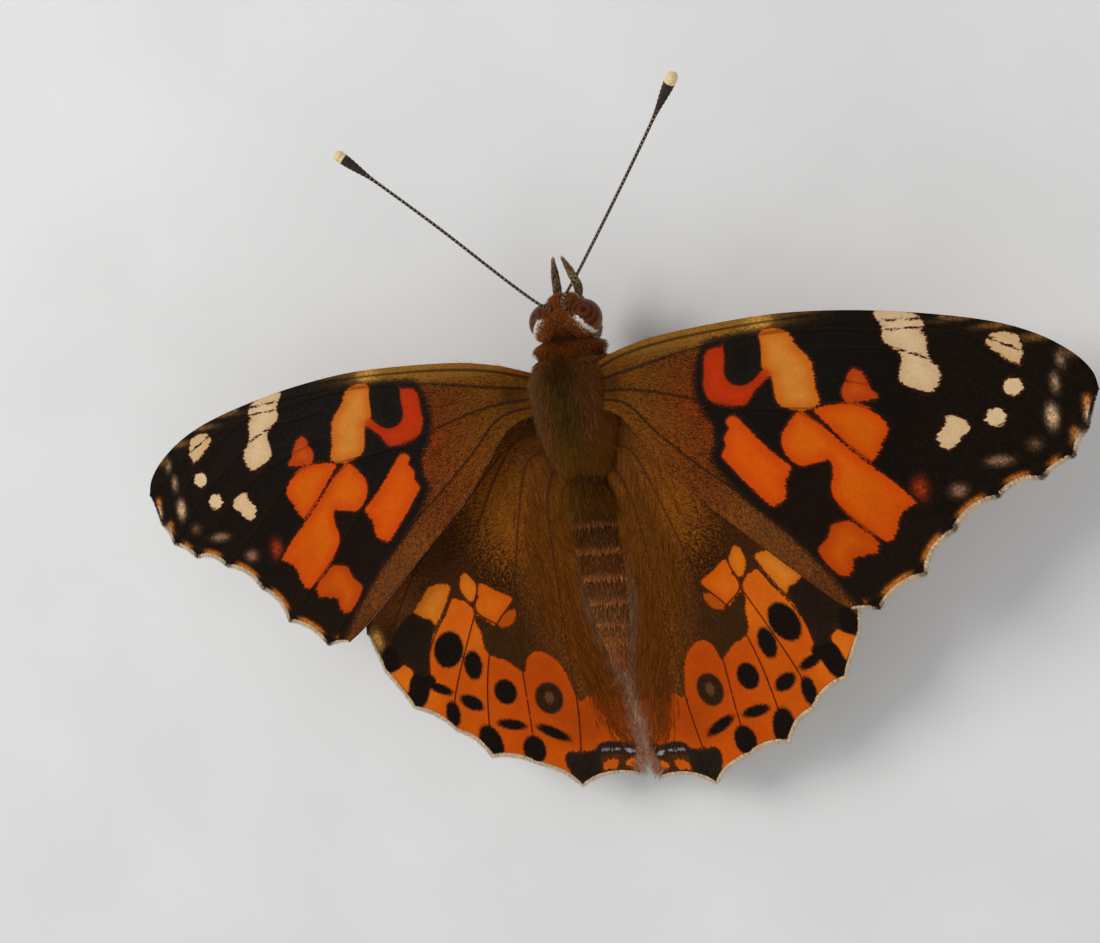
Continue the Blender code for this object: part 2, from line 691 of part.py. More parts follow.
def trim_to_midline(made, side):
    """Cuts a hindwing's inner edge where the two wings meet behind the abdomen."""
    edge = Vector(((MEETING_LINE + side * GAP / 2) * MM, 0, 0))
    to_wing = made.matrix_local.inverted()
    normal = to_wing.to_3x3() @ Vector((-side, 0, 0))

    def trim(form):
        geometry = [*form.verts, *form.edges, *form.faces]
        bmesh.ops.bisect_plane(form, geom=geometry, plane_co=to_wing @ edge, plane_no=normal, clear_outer=True)
        rim = [link for link in form.edges if link.is_boundary]
        bmesh.ops.holes_fill(form, edges=rim)
        bmesh.ops.triangulate(form, faces=[face for face in form.faces if len(face.verts) > 4])

    with_mesh(made.data, trim)


def main():
    """Builds the butterfly."""
    clear_scene()
    builder = Builder()
    fur = paint("body_fur", (0.16, 0.10, 0.045), 0.85)
    chitin = paint("chitin", (0.09, 0.055, 0.03), 0.45)
    eye = paint("eye", (0.12, 0.045, 0.02), 0.25)
    scales = paint("palp_scales", (0.30, 0.22, 0.14), 0.7)
    fore = paint("forewing_scales", (0.55, 0.20, 0.03), 0.6)
    hind = paint("hindwing_scales", (0.50, 0.17, 0.03), 0.6)

    head = builder.loft("head", HEAD, fur)
    collar = builder.loft("collar", COLLAR, fur)
    thorax = builder.loft("thorax", THORAX, fur)
    abdomen = builder.loft("abdomen", abdomen_sections(), fur)
    make_proboscis(builder, chitin, head)
    for side in (RIGHT, LEFT):
        make_eye(builder, side, eye, head, collar)
        make_antenna(builder, side, chitin, head)
        make_palp(builder, side, scales, head)
        make_foreleg(builder, side, chitin, collar)
        for kind in LEG_JOINTS:
            make_leg(builder, kind, side, chitin, thorax)
        label = SIDE_NAMES[side]
        make_wing(builder, "forewing_" + label, FORE, side, fore, fore_lift, [thorax])
        bent = lambda s, t, side=side: hind_lift(s, t, side)
        make_wing(builder, "hindwing_" + label, HIND, side, hind, bent, [thorax, abdomen])
    for made in builder.collection.objects:
        if made.type == "MESH":
            made.data.shade_smooth()
            made.data.set_sharp_from_angle(angle=math.radians(SHARP_ANGLE))


main()
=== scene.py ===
"""The looks of a life-size painted lady butterfly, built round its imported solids.

The body frame has +Y towards the head, +X to the animal's right and +Z up, in millimetres, and
stands at BODY_AT over the floor. Each wing has a frame of its own on its hinge, with s outward,
t forward and height over its sheet. Meshes are worked out as numpy arrays in the body frame.
"""

import sys
import logging
import math
from dataclasses import dataclass, field
from enum import Enum
from typing import Any, ClassVar

import bpy
import numpy as np
from mathutils import Matrix


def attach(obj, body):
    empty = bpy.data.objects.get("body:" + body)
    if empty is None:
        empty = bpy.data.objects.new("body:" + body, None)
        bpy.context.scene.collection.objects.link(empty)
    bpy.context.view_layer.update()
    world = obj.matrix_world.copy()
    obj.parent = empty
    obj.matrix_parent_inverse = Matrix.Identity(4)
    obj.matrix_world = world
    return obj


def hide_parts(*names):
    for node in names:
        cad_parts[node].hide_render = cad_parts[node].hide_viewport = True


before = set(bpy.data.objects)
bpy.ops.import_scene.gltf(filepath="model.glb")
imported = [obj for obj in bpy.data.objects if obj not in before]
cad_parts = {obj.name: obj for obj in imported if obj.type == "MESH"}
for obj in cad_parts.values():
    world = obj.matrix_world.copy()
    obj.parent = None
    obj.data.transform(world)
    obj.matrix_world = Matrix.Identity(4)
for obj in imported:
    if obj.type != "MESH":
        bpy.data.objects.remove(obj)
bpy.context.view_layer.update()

Array = np.ndarray
Triple = tuple[float, float, float]
Colour = Array | Triple
Pair = tuple[float, float]
Line = tuple[tuple[float, ...], ...]
Chance = np.random.Generator
Material = bpy.types.Material

MM = 0.001
BODY_AT = np.array((0.33, 6.29, 8.0))
FLOOR = -8.0
SEED = 20
LOG = logging.getLogger("painted_lady")


# A blade of hair covers PATCH_ACROSS of the unwrap, the base colour weighs BASE_WEIGHT among the
# zones, marks merge over NEARNESS mm, NO_MARK is a depth far outside all of them, and the rows of
# scales fan out round LAY_CENTRE with LAY_ROUND columns to a radian.
PATCH_ACROSS = 0.003
BASE_WEIGHT = 0.05
NEARNESS = 0.15
NO_MARK = -9.0
LAY_CENTRE = (-3.0, -4.0)
LAY_ROUND = 17


class Side(Enum):
    """The two sides of the animal, as the sign of X."""

    RIGHT = 1
    LEFT = -1

    @property
    def label(self) -> str:
        """The side's word in the names of nodes."""
        return self.name.lower()


class Slot(Enum):
    """The material slots, by name."""

    FUR = "body_fur"
    CHITIN = "chitin"
    EYE = "eye"
    PALP = "palp_scales"
    FOREWING = "forewing_scales"
    HINDWING = "hindwing_scales"


def shade(red: float, green: float, blue: float) -> Array:
    """A colour given in screen values of 0 to 255, turned to linear light."""
    screen = np.array((red, green, blue)) / 255
    return np.where(screen <= 0.04045, screen / 12.92, ((screen + 0.055) / 1.055) ** 2.4)


def unit(vectors: Array) -> Array:
    """Each vector divided by its length."""
    return vectors / np.maximum(np.linalg.norm(vectors, axis=-1, keepdims=True), 1e-12)


def smoothstep(low: float, high: float, value: Array) -> Array:
    """0 below low, 1 above high, and 3x^2 - 2x^3 between them."""
    x = np.clip((value - low) / (high - low), 0.0, 1.0)
    return x * x * (3 - 2 * x)


def mixed(start: Array, end: Array, share: Array | float) -> Array:
    """The start where the share is 0, the end where it is 1, and a mix between them."""
    return start * (1 - share) + end * share


def closed_line(knots: Line) -> Array:
    """The smooth closed outline through the given points."""
    return smooth_line(knots, closed=True)


def smooth_line(knots: Line | Array, closed: bool = False, steps: int = 8) -> Array:
    """A smooth line through the given points, by the Catmull-Rom formula.

    Between two knots each coordinate is the cubic that passes through both with the slope of
    the chord between their neighbours.

    Args:
        knots: the points, each of any number of coordinates.
        closed: whether the line returns to its start.
        steps: how many points it takes between two knots.

    Returns:
        The points of the line, an array with one row each.
    """
    knots = np.asarray(knots, float)
    if closed:
        padded = np.concatenate([knots[-1:], knots, knots[:2]])
    else:
        padded = np.concatenate([2 * knots[:1] - knots[1:2], knots, 2 * knots[-1:] - knots[-2:-1]])
    u = (np.arange(steps) / steps)[None, :, None]
    before, start, end, after = (padded[i : len(padded) - 3 + i, None] for i in range(4))
    line = (
        start
        + 0.5 * u * (end - before)
        + u**2 * (before - 2.5 * start + 2 * end - 0.5 * after)
        + 0.5 * u**3 * (3 * start - 3 * end + after - before)
    ).reshape(-1, knots.shape[1])
    return line if closed else np.concatenate([line, knots[-1:]])


def evenly(line: Array, places: int | Array) -> Array:
    """Points of a line at given shares of its length.

    Args:
        line: the points of the line.
        places: how many evenly spread points to take, or the shares of the length, 0 to 1.

    Returns:
        One row for each place.
    """
    shares = np.linspace(0, 1, places) if isinstance(places, int) else places
    length = np.concatenate([[0.0], np.cumsum(np.linalg.norm(np.diff(line, axis=0), axis=1))])
    return np.stack([np.interp(shares * length[-1], length, column) for column in line.T], axis=1)


def line_distance(spots: Array, line: Array) -> Array:
    """How far each spot lies from a line of straight runs."""
    best = np.full(spots.shape[:-1], np.inf)
    for start, end in zip(line[:-1], line[1:]):
        run = end - start
        share = np.clip(((spots - start) @ run) / max(run @ run, 1e-12), 0, 1)
        best = np.minimum(best, np.linalg.norm(spots - start - share[..., None] * run, axis=-1))
    return best


def depth_inside(spots: Array, outline: Array) -> Array:
    """How deep each spot lies inside a closed outline, negative outside it."""
    closed = np.concatenate([outline, outline[:1]])
    odd = np.zeros(spots.shape[:-1], bool)
    x, y = spots[..., 0], spots[..., 1]
    for (x0, y0), (x1, y1) in zip(closed[:-1], closed[1:]):
        if y0 != y1:
            odd ^= ((y0 > y) != (y1 > y)) & (x0 + (x1 - x0) * (y - y0) / (y1 - y0) > x)
    return np.where(odd, 1.0, -1.0) * line_distance(spots, closed)


def glow(spots: Array, centre: tuple[float, ...], reach: tuple[float, ...]) -> Array:
    """A bell of height 1 at the centre: exp of minus the squared distance in units of reach."""
    return np.exp(-(((spots - np.array(centre)) / np.array(reach)) ** 2).sum(-1))


def with_alpha(colour: Array, alpha: Array | float = 1.0) -> Array:
    """Colours with a fourth channel."""
    return np.concatenate([colour, np.broadcast_to(alpha, colour.shape[:-1])[..., None]], axis=-1)


def blend_zones(spots: Array, zones: tuple, base: Colour) -> Array:
    """Colours mixed from soft zones: each zone's bell is its weight, the base weighs a little.

    Args:
        spots: the places, as rows.
        zones: for each one x, y, its reach along both, and red, green and blue of 0 to 255.
        base: the colour far from every zone.

    Returns:
        One colour for each spot.
    """
    weights = np.stack([glow(spots, zone[:2], zone[2:4]) for zone in zones])
    colours = np.array([shade(*zone[4:]) for zone in zones])
    total = weights.sum(0) + BASE_WEIGHT
    return (np.tensordot(weights, colours, (0, 0)) + BASE_WEIGHT * base) / total[..., None]


@dataclass
class Form:
    """A mesh before it enters Blender.

    Attributes:
        points: the corners, in mm of the body frame.
        quads: corner numbers of the four-sided faces.
        tris: corner numbers of the three-sided faces.
        values: numbers or colours for each corner, by attribute name.
        maps: unwraps by name, as the places of the corners of the quads and of the tris.
        finish: which of the piece's finishes each face wears, the quads first.
    """

    points: Array
    quads: Array = field(default_factory=lambda: np.zeros((0, 4), int))
    tris: Array = field(default_factory=lambda: np.zeros((0, 3), int))
    values: dict[str, Array] = field(default_factory=dict)
    maps: dict[str, tuple[Array, Array]] = field(default_factory=dict)
    finish: Array | None = None

    def outward(self) -> "Form":
        """Turns every face round if the enclosed volume comes out negative."""
        split = [self.quads[:, [0, 1, 2]], self.quads[:, [0, 2, 3]], self.tris]
        a, b, c = np.moveaxis(self.points[np.concatenate(split)], 1, 0)
        if np.einsum("ij,ij->", a, np.cross(b, c)) < 0:
            self.quads = self.quads[:, ::-1]
            self.tris = self.tris[:, ::-1]
            self.maps = {name: (q[:, ::-1], t[:, ::-1]) for name, (q, t) in self.maps.items()}
        return self

    def unwrap(self, name: str, places: Array) -> None:
        """Adds an unwrap that gives each corner one place."""
        self.maps[name] = (places[self.quads], places[self.tris])

    def put(self, name: str, finishes: list[Any], slot: Slot, *nodes: str) -> None:
        """Makes the form an object of the scene that rides on the root.

        Args:
            name: the piece's name.
            finishes: its materials.
            slot: the piece's material slot; not used.
            nodes: the CAD nodes that it stands for.
        """
        mesh = bpy.data.meshes.new(name)
        corners = np.concatenate([self.quads.ravel(), self.tris.ravel()])
        fours, threes = len(self.quads), len(self.tris)
        starts = np.concatenate([np.arange(fours) * 4, fours * 4 + np.arange(threes) * 3])
        mesh.vertices.add(len(self.points))
        mesh.vertices.foreach_set("co", ((self.points + BODY_AT) * MM).astype(np.float32).ravel())
        mesh.loops.add(len(corners))
        mesh.loops.foreach_set("vertex_index", corners.astype(np.int32))
        mesh.polygons.add(fours + threes)
        mesh.polygons.foreach_set("loop_start", starts.astype(np.int32))
        if self.finish is not None:
            mesh.polygons.foreach_set("material_index", self.finish.astype(np.int32))
        mesh.update(calc_edges=True)
        for label, value in self.values.items():
            colour = value.ndim == 2
            made = mesh.attributes.new(label, "FLOAT_COLOR" if colour else "FLOAT", "POINT")
            made.data.foreach_set("color" if colour else "value", value.astype(np.float32).ravel())
        for label, (of_quads, of_tris) in self.maps.items():
            places = np.concatenate([of_quads.reshape(-1, 2), of_tris.reshape(-1, 2)])
            mesh.uv_layers.new(name=label).data.foreach_set("uv", places.astype(np.float32).ravel())
        mesh.shade_smooth()
        for finish in finishes:
            mesh.materials.append(finish)
        piece = bpy.data.objects.new(name, mesh)
        bpy.context.scene.collection.objects.link(piece)
        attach(piece, "root")
        if nodes:
            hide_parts(*nodes)
        LOG.info("%s: %d triangles", name, 2 * fours + threes)


def joined(forms: list[Form]) -> Form:
    """One form from several that carry the same maps."""
    shifts = np.cumsum([0] + [len(form.points) for form in forms[:-1]])
    made = Form(np.concatenate([form.points for form in forms]))
    made.quads = np.concatenate([form.quads + shift for form, shift in zip(forms, shifts)])
    made.tris = np.concatenate([form.tris + shift for form, shift in zip(forms, shifts)])
    for name in forms[0].maps:
        made.maps[name] = tuple(np.concatenate([form.maps[name][k] for form in forms]) for k in range(2))
    return made


def grid_faces(rows: int, columns: int, closed: bool) -> Array:
    """Corner numbers of a grid's faces; in a closed grid the last column meets the first."""
    i, j = np.meshgrid(np.arange(rows - 1), np.arange(columns - (not closed)), indexing="ij")
    i, j = i.ravel(), j.ravel()
    k = (j + 1) % columns
    return np.stack([i * columns + j, i * columns + k, (i + 1) * columns + k, (i + 1) * columns + j], 1)


def skin_form(rings: Array) -> Form:
    """A closed skin through rings of points, with a point in the middle of each end.

    Row i, column j of the grid is corner i * columns + j. The unwrap gives each corner its
    column's share of the way round and its row's share of the length.

    Args:
        rings: an array of rings, points round each ring, and three coordinates.

    Returns:
        The form, with the unwrap OFBake.
    """
    rows, columns = rings.shape[:2]
    quads = grid_faces(rows, columns, closed=True)
    i, j = np.divmod(quads[:, 0], columns)
    u = np.stack([j, j + 1, j + 1, j], 1) / columns
    v = np.stack([i, i, i + 1, i + 1], 1) / (rows - 1)
    points = np.concatenate([rings.reshape(-1, 3), rings[:1].mean(1), rings[-1:].mean(1)])
    j = np.arange(columns)
    k = (j + 1) % columns
    hub, last = 0 * j + rows * columns, (rows - 1) * columns
    tris = [np.stack([k, j, hub], 1), np.stack([last + j, last + k, hub + 1], 1)]
    ends = np.zeros((2 * columns, 3, 2))
    ends[:columns, :, 0] = np.stack([j + 1, j, j + 0.5], 1) / columns
    ends[columns:, :, 0] = np.stack([j, j + 1, j + 0.5], 1) / columns
    ends[columns:, :, 1] = 1.0
    form = Form(points, quads, np.concatenate(tris))
    form.maps["OFBake"] = (np.stack([u, v], 2), ends)
    return form.outward()


def tube_rings(route: Array, radii: Array, upright: Triple, around: int) -> Array:
    """Rings of points round a path, each centre + radius * (cos * side + sin * over).

    side is the path's direction crossed with upright, and over is side crossed with it.

    Args:
        route: the points of the path.
        radii: the radius at each.
        upright: a direction that the path never takes.
        around: points in each ring.

    Returns:
        The rings, an array of rings, points and coordinates.
    """
    ahead = unit(np.gradient(route, axis=0))
    side = unit(np.cross(ahead, np.array(upright)))
    over = np.cross(side, ahead)
    angle = (np.arange(around) / around * 2 * math.pi)[None, :, None]
    radii = radii[:, None, None]
    return route[:, None] + radii * np.cos(angle) * side[:, None] + radii * np.sin(angle) * over[:, None]


def taper(radii: tuple[float, ...], steps: int) -> Array:
    """Radii read between evenly spaced ones, with a rounded tip over the last twentieth."""
    u = np.linspace(0, 1, steps)
    tip = np.sqrt(np.clip((1 - u) / 0.05, 0.05, 1))
    return np.interp(u, np.linspace(0, 1, len(radii)), radii) * tip


def per_ring(values: Array, around: int) -> Array:
    """A value for each ring of a skin, given to all its corners and to the two ends."""
    return np.concatenate([np.repeat(values, around), values[[0, -1]]])


def chosen_first(here: Array, chance: Array, most: int) -> Array:
    """Numbers of the places in a mask, those with the least chance first, and not too many."""
    return np.argsort(np.where(here, chance, 2.0))[: min(int(here.sum()), most)]


@dataclass
class Roots:
    """Where tufts grow: place, skin normal, lie, place on the unwrap, colour and share of size."""

    place: Array
    normal: Array
    lie: Array
    unwrap: Array
    colour: Array
    size: Array

    def keep(self, chosen: Array) -> "Roots":
        """The roots that a mask picks."""
        return Roots(*(getattr(self, name)[chosen] for name in self.__dataclass_fields__))


def scatter(surface: Array, count: int, rng: Chance, wrap: bool = True) -> Roots:
    """Roots spread evenly by area over a grid of points, lying along its first direction.

    Args:
        surface: rows, columns and coordinates of the skin.
        count: how many roots.
        rng: the seeded source of chance.
        wrap: whether the last column meets the first.

    Returns:
        The roots, without colour.
    """
    columns = np.concatenate([surface, surface[:, :1]], 1) if wrap else surface
    a, b = columns[:-1, :-1], columns[:-1, 1:]
    c, d = columns[1:, :-1], columns[1:, 1:]
    along, across = (c + d - a - b) / 2, (b + d - a - c) / 2
    normal = np.cross(across, along)
    area = np.linalg.norm(normal, axis=-1)
    cell = rng.choice(area.size, count, p=(area / area.sum()).ravel())
    i, j = np.unravel_index(cell, area.shape)
    u, v = rng.random((2, count, 1))
    place = (1 - v) * ((1 - u) * a[i, j] + u * b[i, j]) + v * ((1 - u) * c[i, j] + u * d[i, j])
    spot = np.stack([(j + u[:, 0]) / area.shape[1], (i + v[:, 0]) / area.shape[0]], 1)
    blank = np.zeros((count, 3))
    return Roots(place, unit(normal[i, j]), unit(along[i, j]), spot, blank, np.ones(count))


@dataclass(frozen=True)
class Lock:
    """The shape of one kind of tuft.

    Attributes:
        length: shortest and longest, in mm.
        width: across the root, in mm.
        rise: angle from the skin at the root, in radians.
        droop: how far the tip bends back to the skin, as a share of the length.
        stray: how far the lie varies, in radians.
        curl: sideways bend of the tip, as a share of the length.
        sunk: how deep the root sits under the skin, in mm.
        shares: the rings' places along the tuft, from 0.
        depth: darkness at the root, 0 to 1.
        variety: how much the brightness differs between tufts.
    """

    length: Pair
    width: float
    rise: float = 0.3
    droop: float = 0.15
    stray: float = 0.2
    curl: float = 0.12
    sunk: float = 0.05
    shares: tuple[float, ...] = (0.0, 0.5)
    depth: float = 0.45
    variety: float = 0.28

    def grow(self, roots: Roots, rng: Chance) -> Form:
        """Tapered, bent, three-sided blades, one on each root.

        The spine runs from the root by length * (lie * cos(rise) * x + normal * (sin(rise) * x -
        droop * x^2) + side * curl * x^2), where x is the share of the length, and the blade's
        width falls as 1 - x^1.7.

        Args:
            roots: where they grow.
            rng: the seeded source of chance.

        Returns:
            All the blades as one form, with its colour and OFBake map.
        """
        count = len(roots.place)
        length = (rng.uniform(*self.length, count) * roots.size)[:, None, None]
        rise = np.clip(rng.normal(self.rise, 0.3 * self.rise, count), 0.02, 1.5)[:, None, None]
        normal = roots.normal
        lie = unit(roots.lie - (roots.lie * normal).sum(1, keepdims=True) * normal)
        side = np.cross(normal, lie)
        turn = rng.normal(0, self.stray, (count, 1))
        lie, side = lie * np.cos(turn) + side * np.sin(turn), side * np.cos(turn) - lie * np.sin(turn)
        normal, lie, side = normal[:, None], lie[:, None], side[:, None]
        x = np.array([*self.shares, 1.0])[None, :, None]
        curl = rng.normal(0, self.curl, (count, 1, 1)) * x**2
        bent = lie * np.cos(rise) * x + normal * (np.sin(rise) * x - self.droop * x**2) + side * curl
        spine = roots.place[:, None] - self.sunk * normal + length * bent
        half = 0.5 * self.width * rng.uniform(0.7, 1.3, (count, 1, 1)) * (1 - x[:, :-1] ** 1.7)
        angles = np.radians((90, 210, 330))
        edges = [math.cos(a) * side + 0.7 * math.sin(a) * normal for a in angles]
        rings = np.stack([spine[:, :-1] + half * edge for edge in edges], 2)
        levels = len(self.shares)
        points = np.concatenate([rings.reshape(count, -1, 3), spine[:, -1:]], 1)
        quads = grid_faces(levels, 3, closed=True)
        top = 3 * levels - 3
        tris = np.array([[top + k, top + (k + 1) % 3, top + 3] for k in range(3)] + [[0, 2, 1]])
        shift = (np.arange(count) * (3 * levels + 1))[:, None, None]
        share = np.concatenate([np.repeat(self.shares, 3), [1.0]])
        tint = np.exp(rng.normal(0, self.variety, (count, 1)))
        bright = tint * (1 - self.depth + self.depth * 1.5 * share[None])
        colour = np.clip(roots.colour[:, None] * bright[..., None], 0, 1)
        across = np.concatenate([np.tile((0.0, 0.5, 1.0), levels), [0.5]]) - 0.5
        offset = PATCH_ACROSS * np.stack([across, share - 0.5], 1)
        form = Form(points.reshape(-1, 3), (quads + shift).reshape(-1, 4), (tris + shift).reshape(-1, 3))
        form.values["pelt"] = with_alpha(colour.reshape(-1, 3))
        form.unwrap("OFBake", (roots.unwrap[:, None] + offset[None]).reshape(-1, 2))
        return form.outward()


class Nodes:
    """Builds one material's node tree. Each method adds a node and gives its output."""

    def __init__(self, name: str) -> None:
        """Starts a material with nothing but a Principled shader.

        Args:
            name: the material's name.
        """
        self.material = bpy.data.materials.new(name)
        self.material.use_nodes = True
        self.tree = self.material.node_tree
        self.shader = self.tree.nodes["Principled BSDF"]

    def feed(self, socket: Any, value: Any) -> None:
        """Links an output to a socket, or sets a plain value on it."""
        if isinstance(value, bpy.types.NodeSocket):
            self.tree.links.new(value, socket)
        else:
            socket.default_value = (*value, 1.0) if socket.type == "RGBA" else value

    def add(self, kind: str, inputs: dict[Any, Any], **options: Any) -> bpy.types.Node:
        """Adds a node of a kind with its options and inputs."""
        node = self.tree.nodes.new(kind)
        for name, value in options.items():
            setattr(node, name, value)
        for key, value in inputs.items():
            self.feed(node.inputs[key], value)
        return node

    def attribute(self, name: str) -> bpy.types.Node:
        """Reads a named value of the mesh."""
        return self.add("ShaderNodeAttribute", {}, attribute_name=name)

    def number(self, name: str) -> Any:
        """Reads a number of the mesh."""
        return self.attribute(name).outputs["Fac"]

    def paint(self, name: str) -> Any:
        """Reads a colour of the mesh."""
        return self.attribute(name).outputs["Color"]

    def unwrap(self, name: str, scale: Triple) -> Any:
        """Places of a named unwrap, stretched by a scale."""
        source = self.add("ShaderNodeUVMap", {}, uv_map=name)
        return self.add("ShaderNodeMapping", {"Vector": source.outputs[0], "Scale": scale}).outputs[0]

    def body_place(self, scale: float) -> Any:
        """Object coordinates, stretched by a scale."""
        source = self.add("ShaderNodeTexCoord", {})
        inputs = {"Vector": source.outputs["Object"], "Scale": (scale, scale, scale)}
        return self.add("ShaderNodeMapping", inputs).outputs[0]

    def math(self, operation: str, a: Any, b: Any = 0.0, clamp: bool = False) -> Any:
        """One arithmetic step."""
        return self.add("ShaderNodeMath", {0: a, 1: b}, operation=operation, use_clamp=clamp).outputs[0]

    def plus(self, a: Any, b: Any) -> Any:
        """The sum of two numbers."""
        return self.math("ADD", a, b)

    def minus(self, a: Any, b: Any) -> Any:
        """The first number less the second."""
        return self.math("SUBTRACT", a, b)

    def times(self, a: Any, b: Any, clamp: bool = False) -> Any:
        """The product of two numbers, kept between 0 and 1 if clamped."""
        return self.math("MULTIPLY", a, b, clamp)

    def span(self, value: Any, low: float, high: float, start: float = 0.0, end: float = 1.0) -> Any:
        """Carries the range from low to high to that from start to end, with soft ends."""
        inputs = {0: value, 1: low, 2: high, 3: start, 4: end}
        return self.add("ShaderNodeMapRange", inputs, interpolation_type="SMOOTHSTEP").outputs[0]

    def mix(self, share: Any, a: Any, b: Any, way: str = "MIX") -> Any:
        """Mixes two colours."""
        node = self.add("ShaderNodeMix", {}, data_type="RGBA", blend_type=way)
        for socket, value in zip((node.inputs[0], node.inputs[6], node.inputs[7]), (share, a, b)):
            self.feed(socket, value)
        return node.outputs[2]

    def brighten(self, colour: Any, factor: Any) -> Any:
        """A colour times a number."""
        return self.add("ShaderNodeVectorMath", {0: colour, 3: factor}, operation="SCALE").outputs[0]

    def noise(self, place: Any, detail: float = 2.0, flat: bool = True) -> Any:
        """Soft noise of 0 to 1, one lump to a unit."""
        inputs = {"Vector": place, "Scale": 1.0, "Detail": detail}
        return self.add("ShaderNodeTexNoise", inputs, noise_dimensions="2D" if flat else "3D").outputs[0]

    def cells(self, place: Any, loose: float, flat: bool = True) -> bpy.types.Node:
        """Cells, one to a unit."""
        inputs = {"Vector": place, "Scale": 1.0, "Randomness": loose}
        return self.add("ShaderNodeTexVoronoi", inputs, voronoi_dimensions="2D" if flat else "3D")

    def bump(self, height: Any, strength: float, distance: float) -> Any:
        """A normal from a height, with the distance in metres."""
        inputs = {"Height": height, "Strength": strength, "Distance": distance}
        return self.add("ShaderNodeBump", inputs).outputs[0]

    def done(self, colour: Any, roughness: Any, normal: Any = None, **constants: Any) -> Material:
        """Feeds the shader and gives the material.

        Args:
            colour: output or colour for the base.
            roughness: output or number.
            normal: output of a bump.
            constants: shader inputs, with underscores for spaces, set on their sockets.

        Returns:
            The finished material.
        """
        self.feed(self.shader.inputs["Base Color"], colour)
        self.feed(self.shader.inputs["Roughness"], roughness)
        if normal is not None:
            self.feed(self.shader.inputs["Normal"], normal)
        for name, value in constants.items():
            self.shader.inputs[name.replace("_", " ")].default_value = value
        return self.material


@dataclass(frozen=True)
class ScaleFinish:
    """The scaled face of a wing: single scales in rows, each of one colour.

    Attributes:
        name: the material's name.
        vein: colour of the veins on the warm patches.
        vein_ground: colour of the veins elsewhere.
        halo: the narrow glow round the warm and the pale marks.
        clump: how far the dusting gathers in marbled clumps, 0 to 1.
        lively: how far single scales of a warm patch differ in brightness.
        vein_force: how strongly the veins show on the warm patches, 0 to 1.
        gloss: roughness of the scales.
    """

    name: str
    vein: Colour
    vein_ground: Colour
    halo: Colour
    clump: float = 0.0
    lively: float = 0.06
    vein_force: float = 0.75
    gloss: float = 0.5

    def make(self) -> Material:
        """Paints each scale by comparing the mesh's pattern values with the scale's own chance."""
        nodes = Nodes(self.name)
        scales = nodes.cells(nodes.unwrap("Lay", (15.0, 9.0, 1.0)), 0.8)
        chance = nodes.add("ShaderNodeSeparateColor", {0: scales.outputs["Color"]})
        pick, other = chance.outputs[0], chance.outputs[1]
        streak = nodes.noise(nodes.unwrap("Lay", (7.0, 1.1, 1.0)), 2.0)
        coarse = nodes.noise(nodes.unwrap("Lay", (1.1, 0.8, 1.0)), 3.0)
        jitter = nodes.times(nodes.minus(pick, 0.5), 0.09)
        rag = nodes.times(nodes.minus(streak, 0.5), nodes.number("rag"))

        def inside(name: str, start: float, end: float, ragged: bool = True) -> Any:
            """The share of a kind of mark, rising from 0 to 1 between two depths."""
            depth = nodes.plus(nodes.number(name), jitter)
            return nodes.span(nodes.plus(depth, rag) if ragged else depth, start, end)

        def varied(low: float, high: float) -> Any:
            """A brightness that differs from scale to scale."""
            return nodes.span(pick, 0.0, 1.0, low, high)

        lively = varied(0.75, 1.25)
        dust, mist = nodes.attribute("dust"), nodes.attribute("mist")
        clumps = nodes.times(nodes.span(coarse, 0.3, 0.7), self.clump)
        lumps = nodes.plus(nodes.times(other, 1.0 - self.clump), clumps)
        dusted = nodes.span(nodes.minus(dust.outputs["Alpha"], lumps), -0.3, 0.3)
        # Each dusting scale is 0.74 to 1.3 times as bright as its colour: partly the scales' own
        # differing tone, partly painted glint of the golden scales.
        grains_and_glints = nodes.brighten(dust.outputs["Color"], nodes.span(pick, 0.1, 1.0, 0.74, 1.3))
        colour = nodes.mix(dusted, nodes.brighten(nodes.paint("ground"), lively), grains_and_glints)
        veil = nodes.times(mist.outputs["Alpha"], varied(0.85, 1.3), clamp=True)
        colour = nodes.mix(veil, colour, nodes.brighten(mist.outputs["Color"], lively))

        colour = nodes.mix(nodes.times(inside("warm", -0.24, 0.02), 0.5), colour, self.halo)
        warm = inside("warm", -0.05, 0.06)
        broad = nodes.span(coarse, 0.25, 0.75, 1 - 0.7 * self.lively, 1 + 0.7 * self.lively)
        soft = nodes.times(broad, varied(1 - self.lively, 1 + self.lively))
        colour = nodes.mix(warm, colour, nodes.brighten(nodes.paint("patch"), soft))
        line = nodes.span(nodes.number("vein"), 0.3, 1.3, 1.0, 0.0)
        force = nodes.span(warm, 0.0, 1.0, 0.75, self.vein_force)
        tint = nodes.mix(warm, self.vein_ground, self.vein)
        colour = nodes.mix(nodes.times(line, force), colour, tint)

        dark = inside("dark", -0.13, 0.08, ragged=False)
        colour = nodes.mix(dark, colour, nodes.brighten(nodes.paint("soot"), lively))
        colour = nodes.mix(nodes.times(inside("pearl", -0.2, 0.0), 0.35), colour, self.halo)
        cream = nodes.brighten(nodes.paint("cream"), varied(0.93, 1.05))
        colour = nodes.mix(inside("pearl", -0.05, 0.06), colour, cream)
        height = nodes.plus(nodes.times(scales.outputs["Distance"], -0.6), nodes.times(streak, 0.5))
        gloss = nodes.span(other, 0.0, 1.0, self.gloss - 0.12, self.gloss + 0.15)
        return nodes.done(colour, gloss, nodes.bump(height, 0.55, 0.00003), Specular_IOR_Level=0.035)


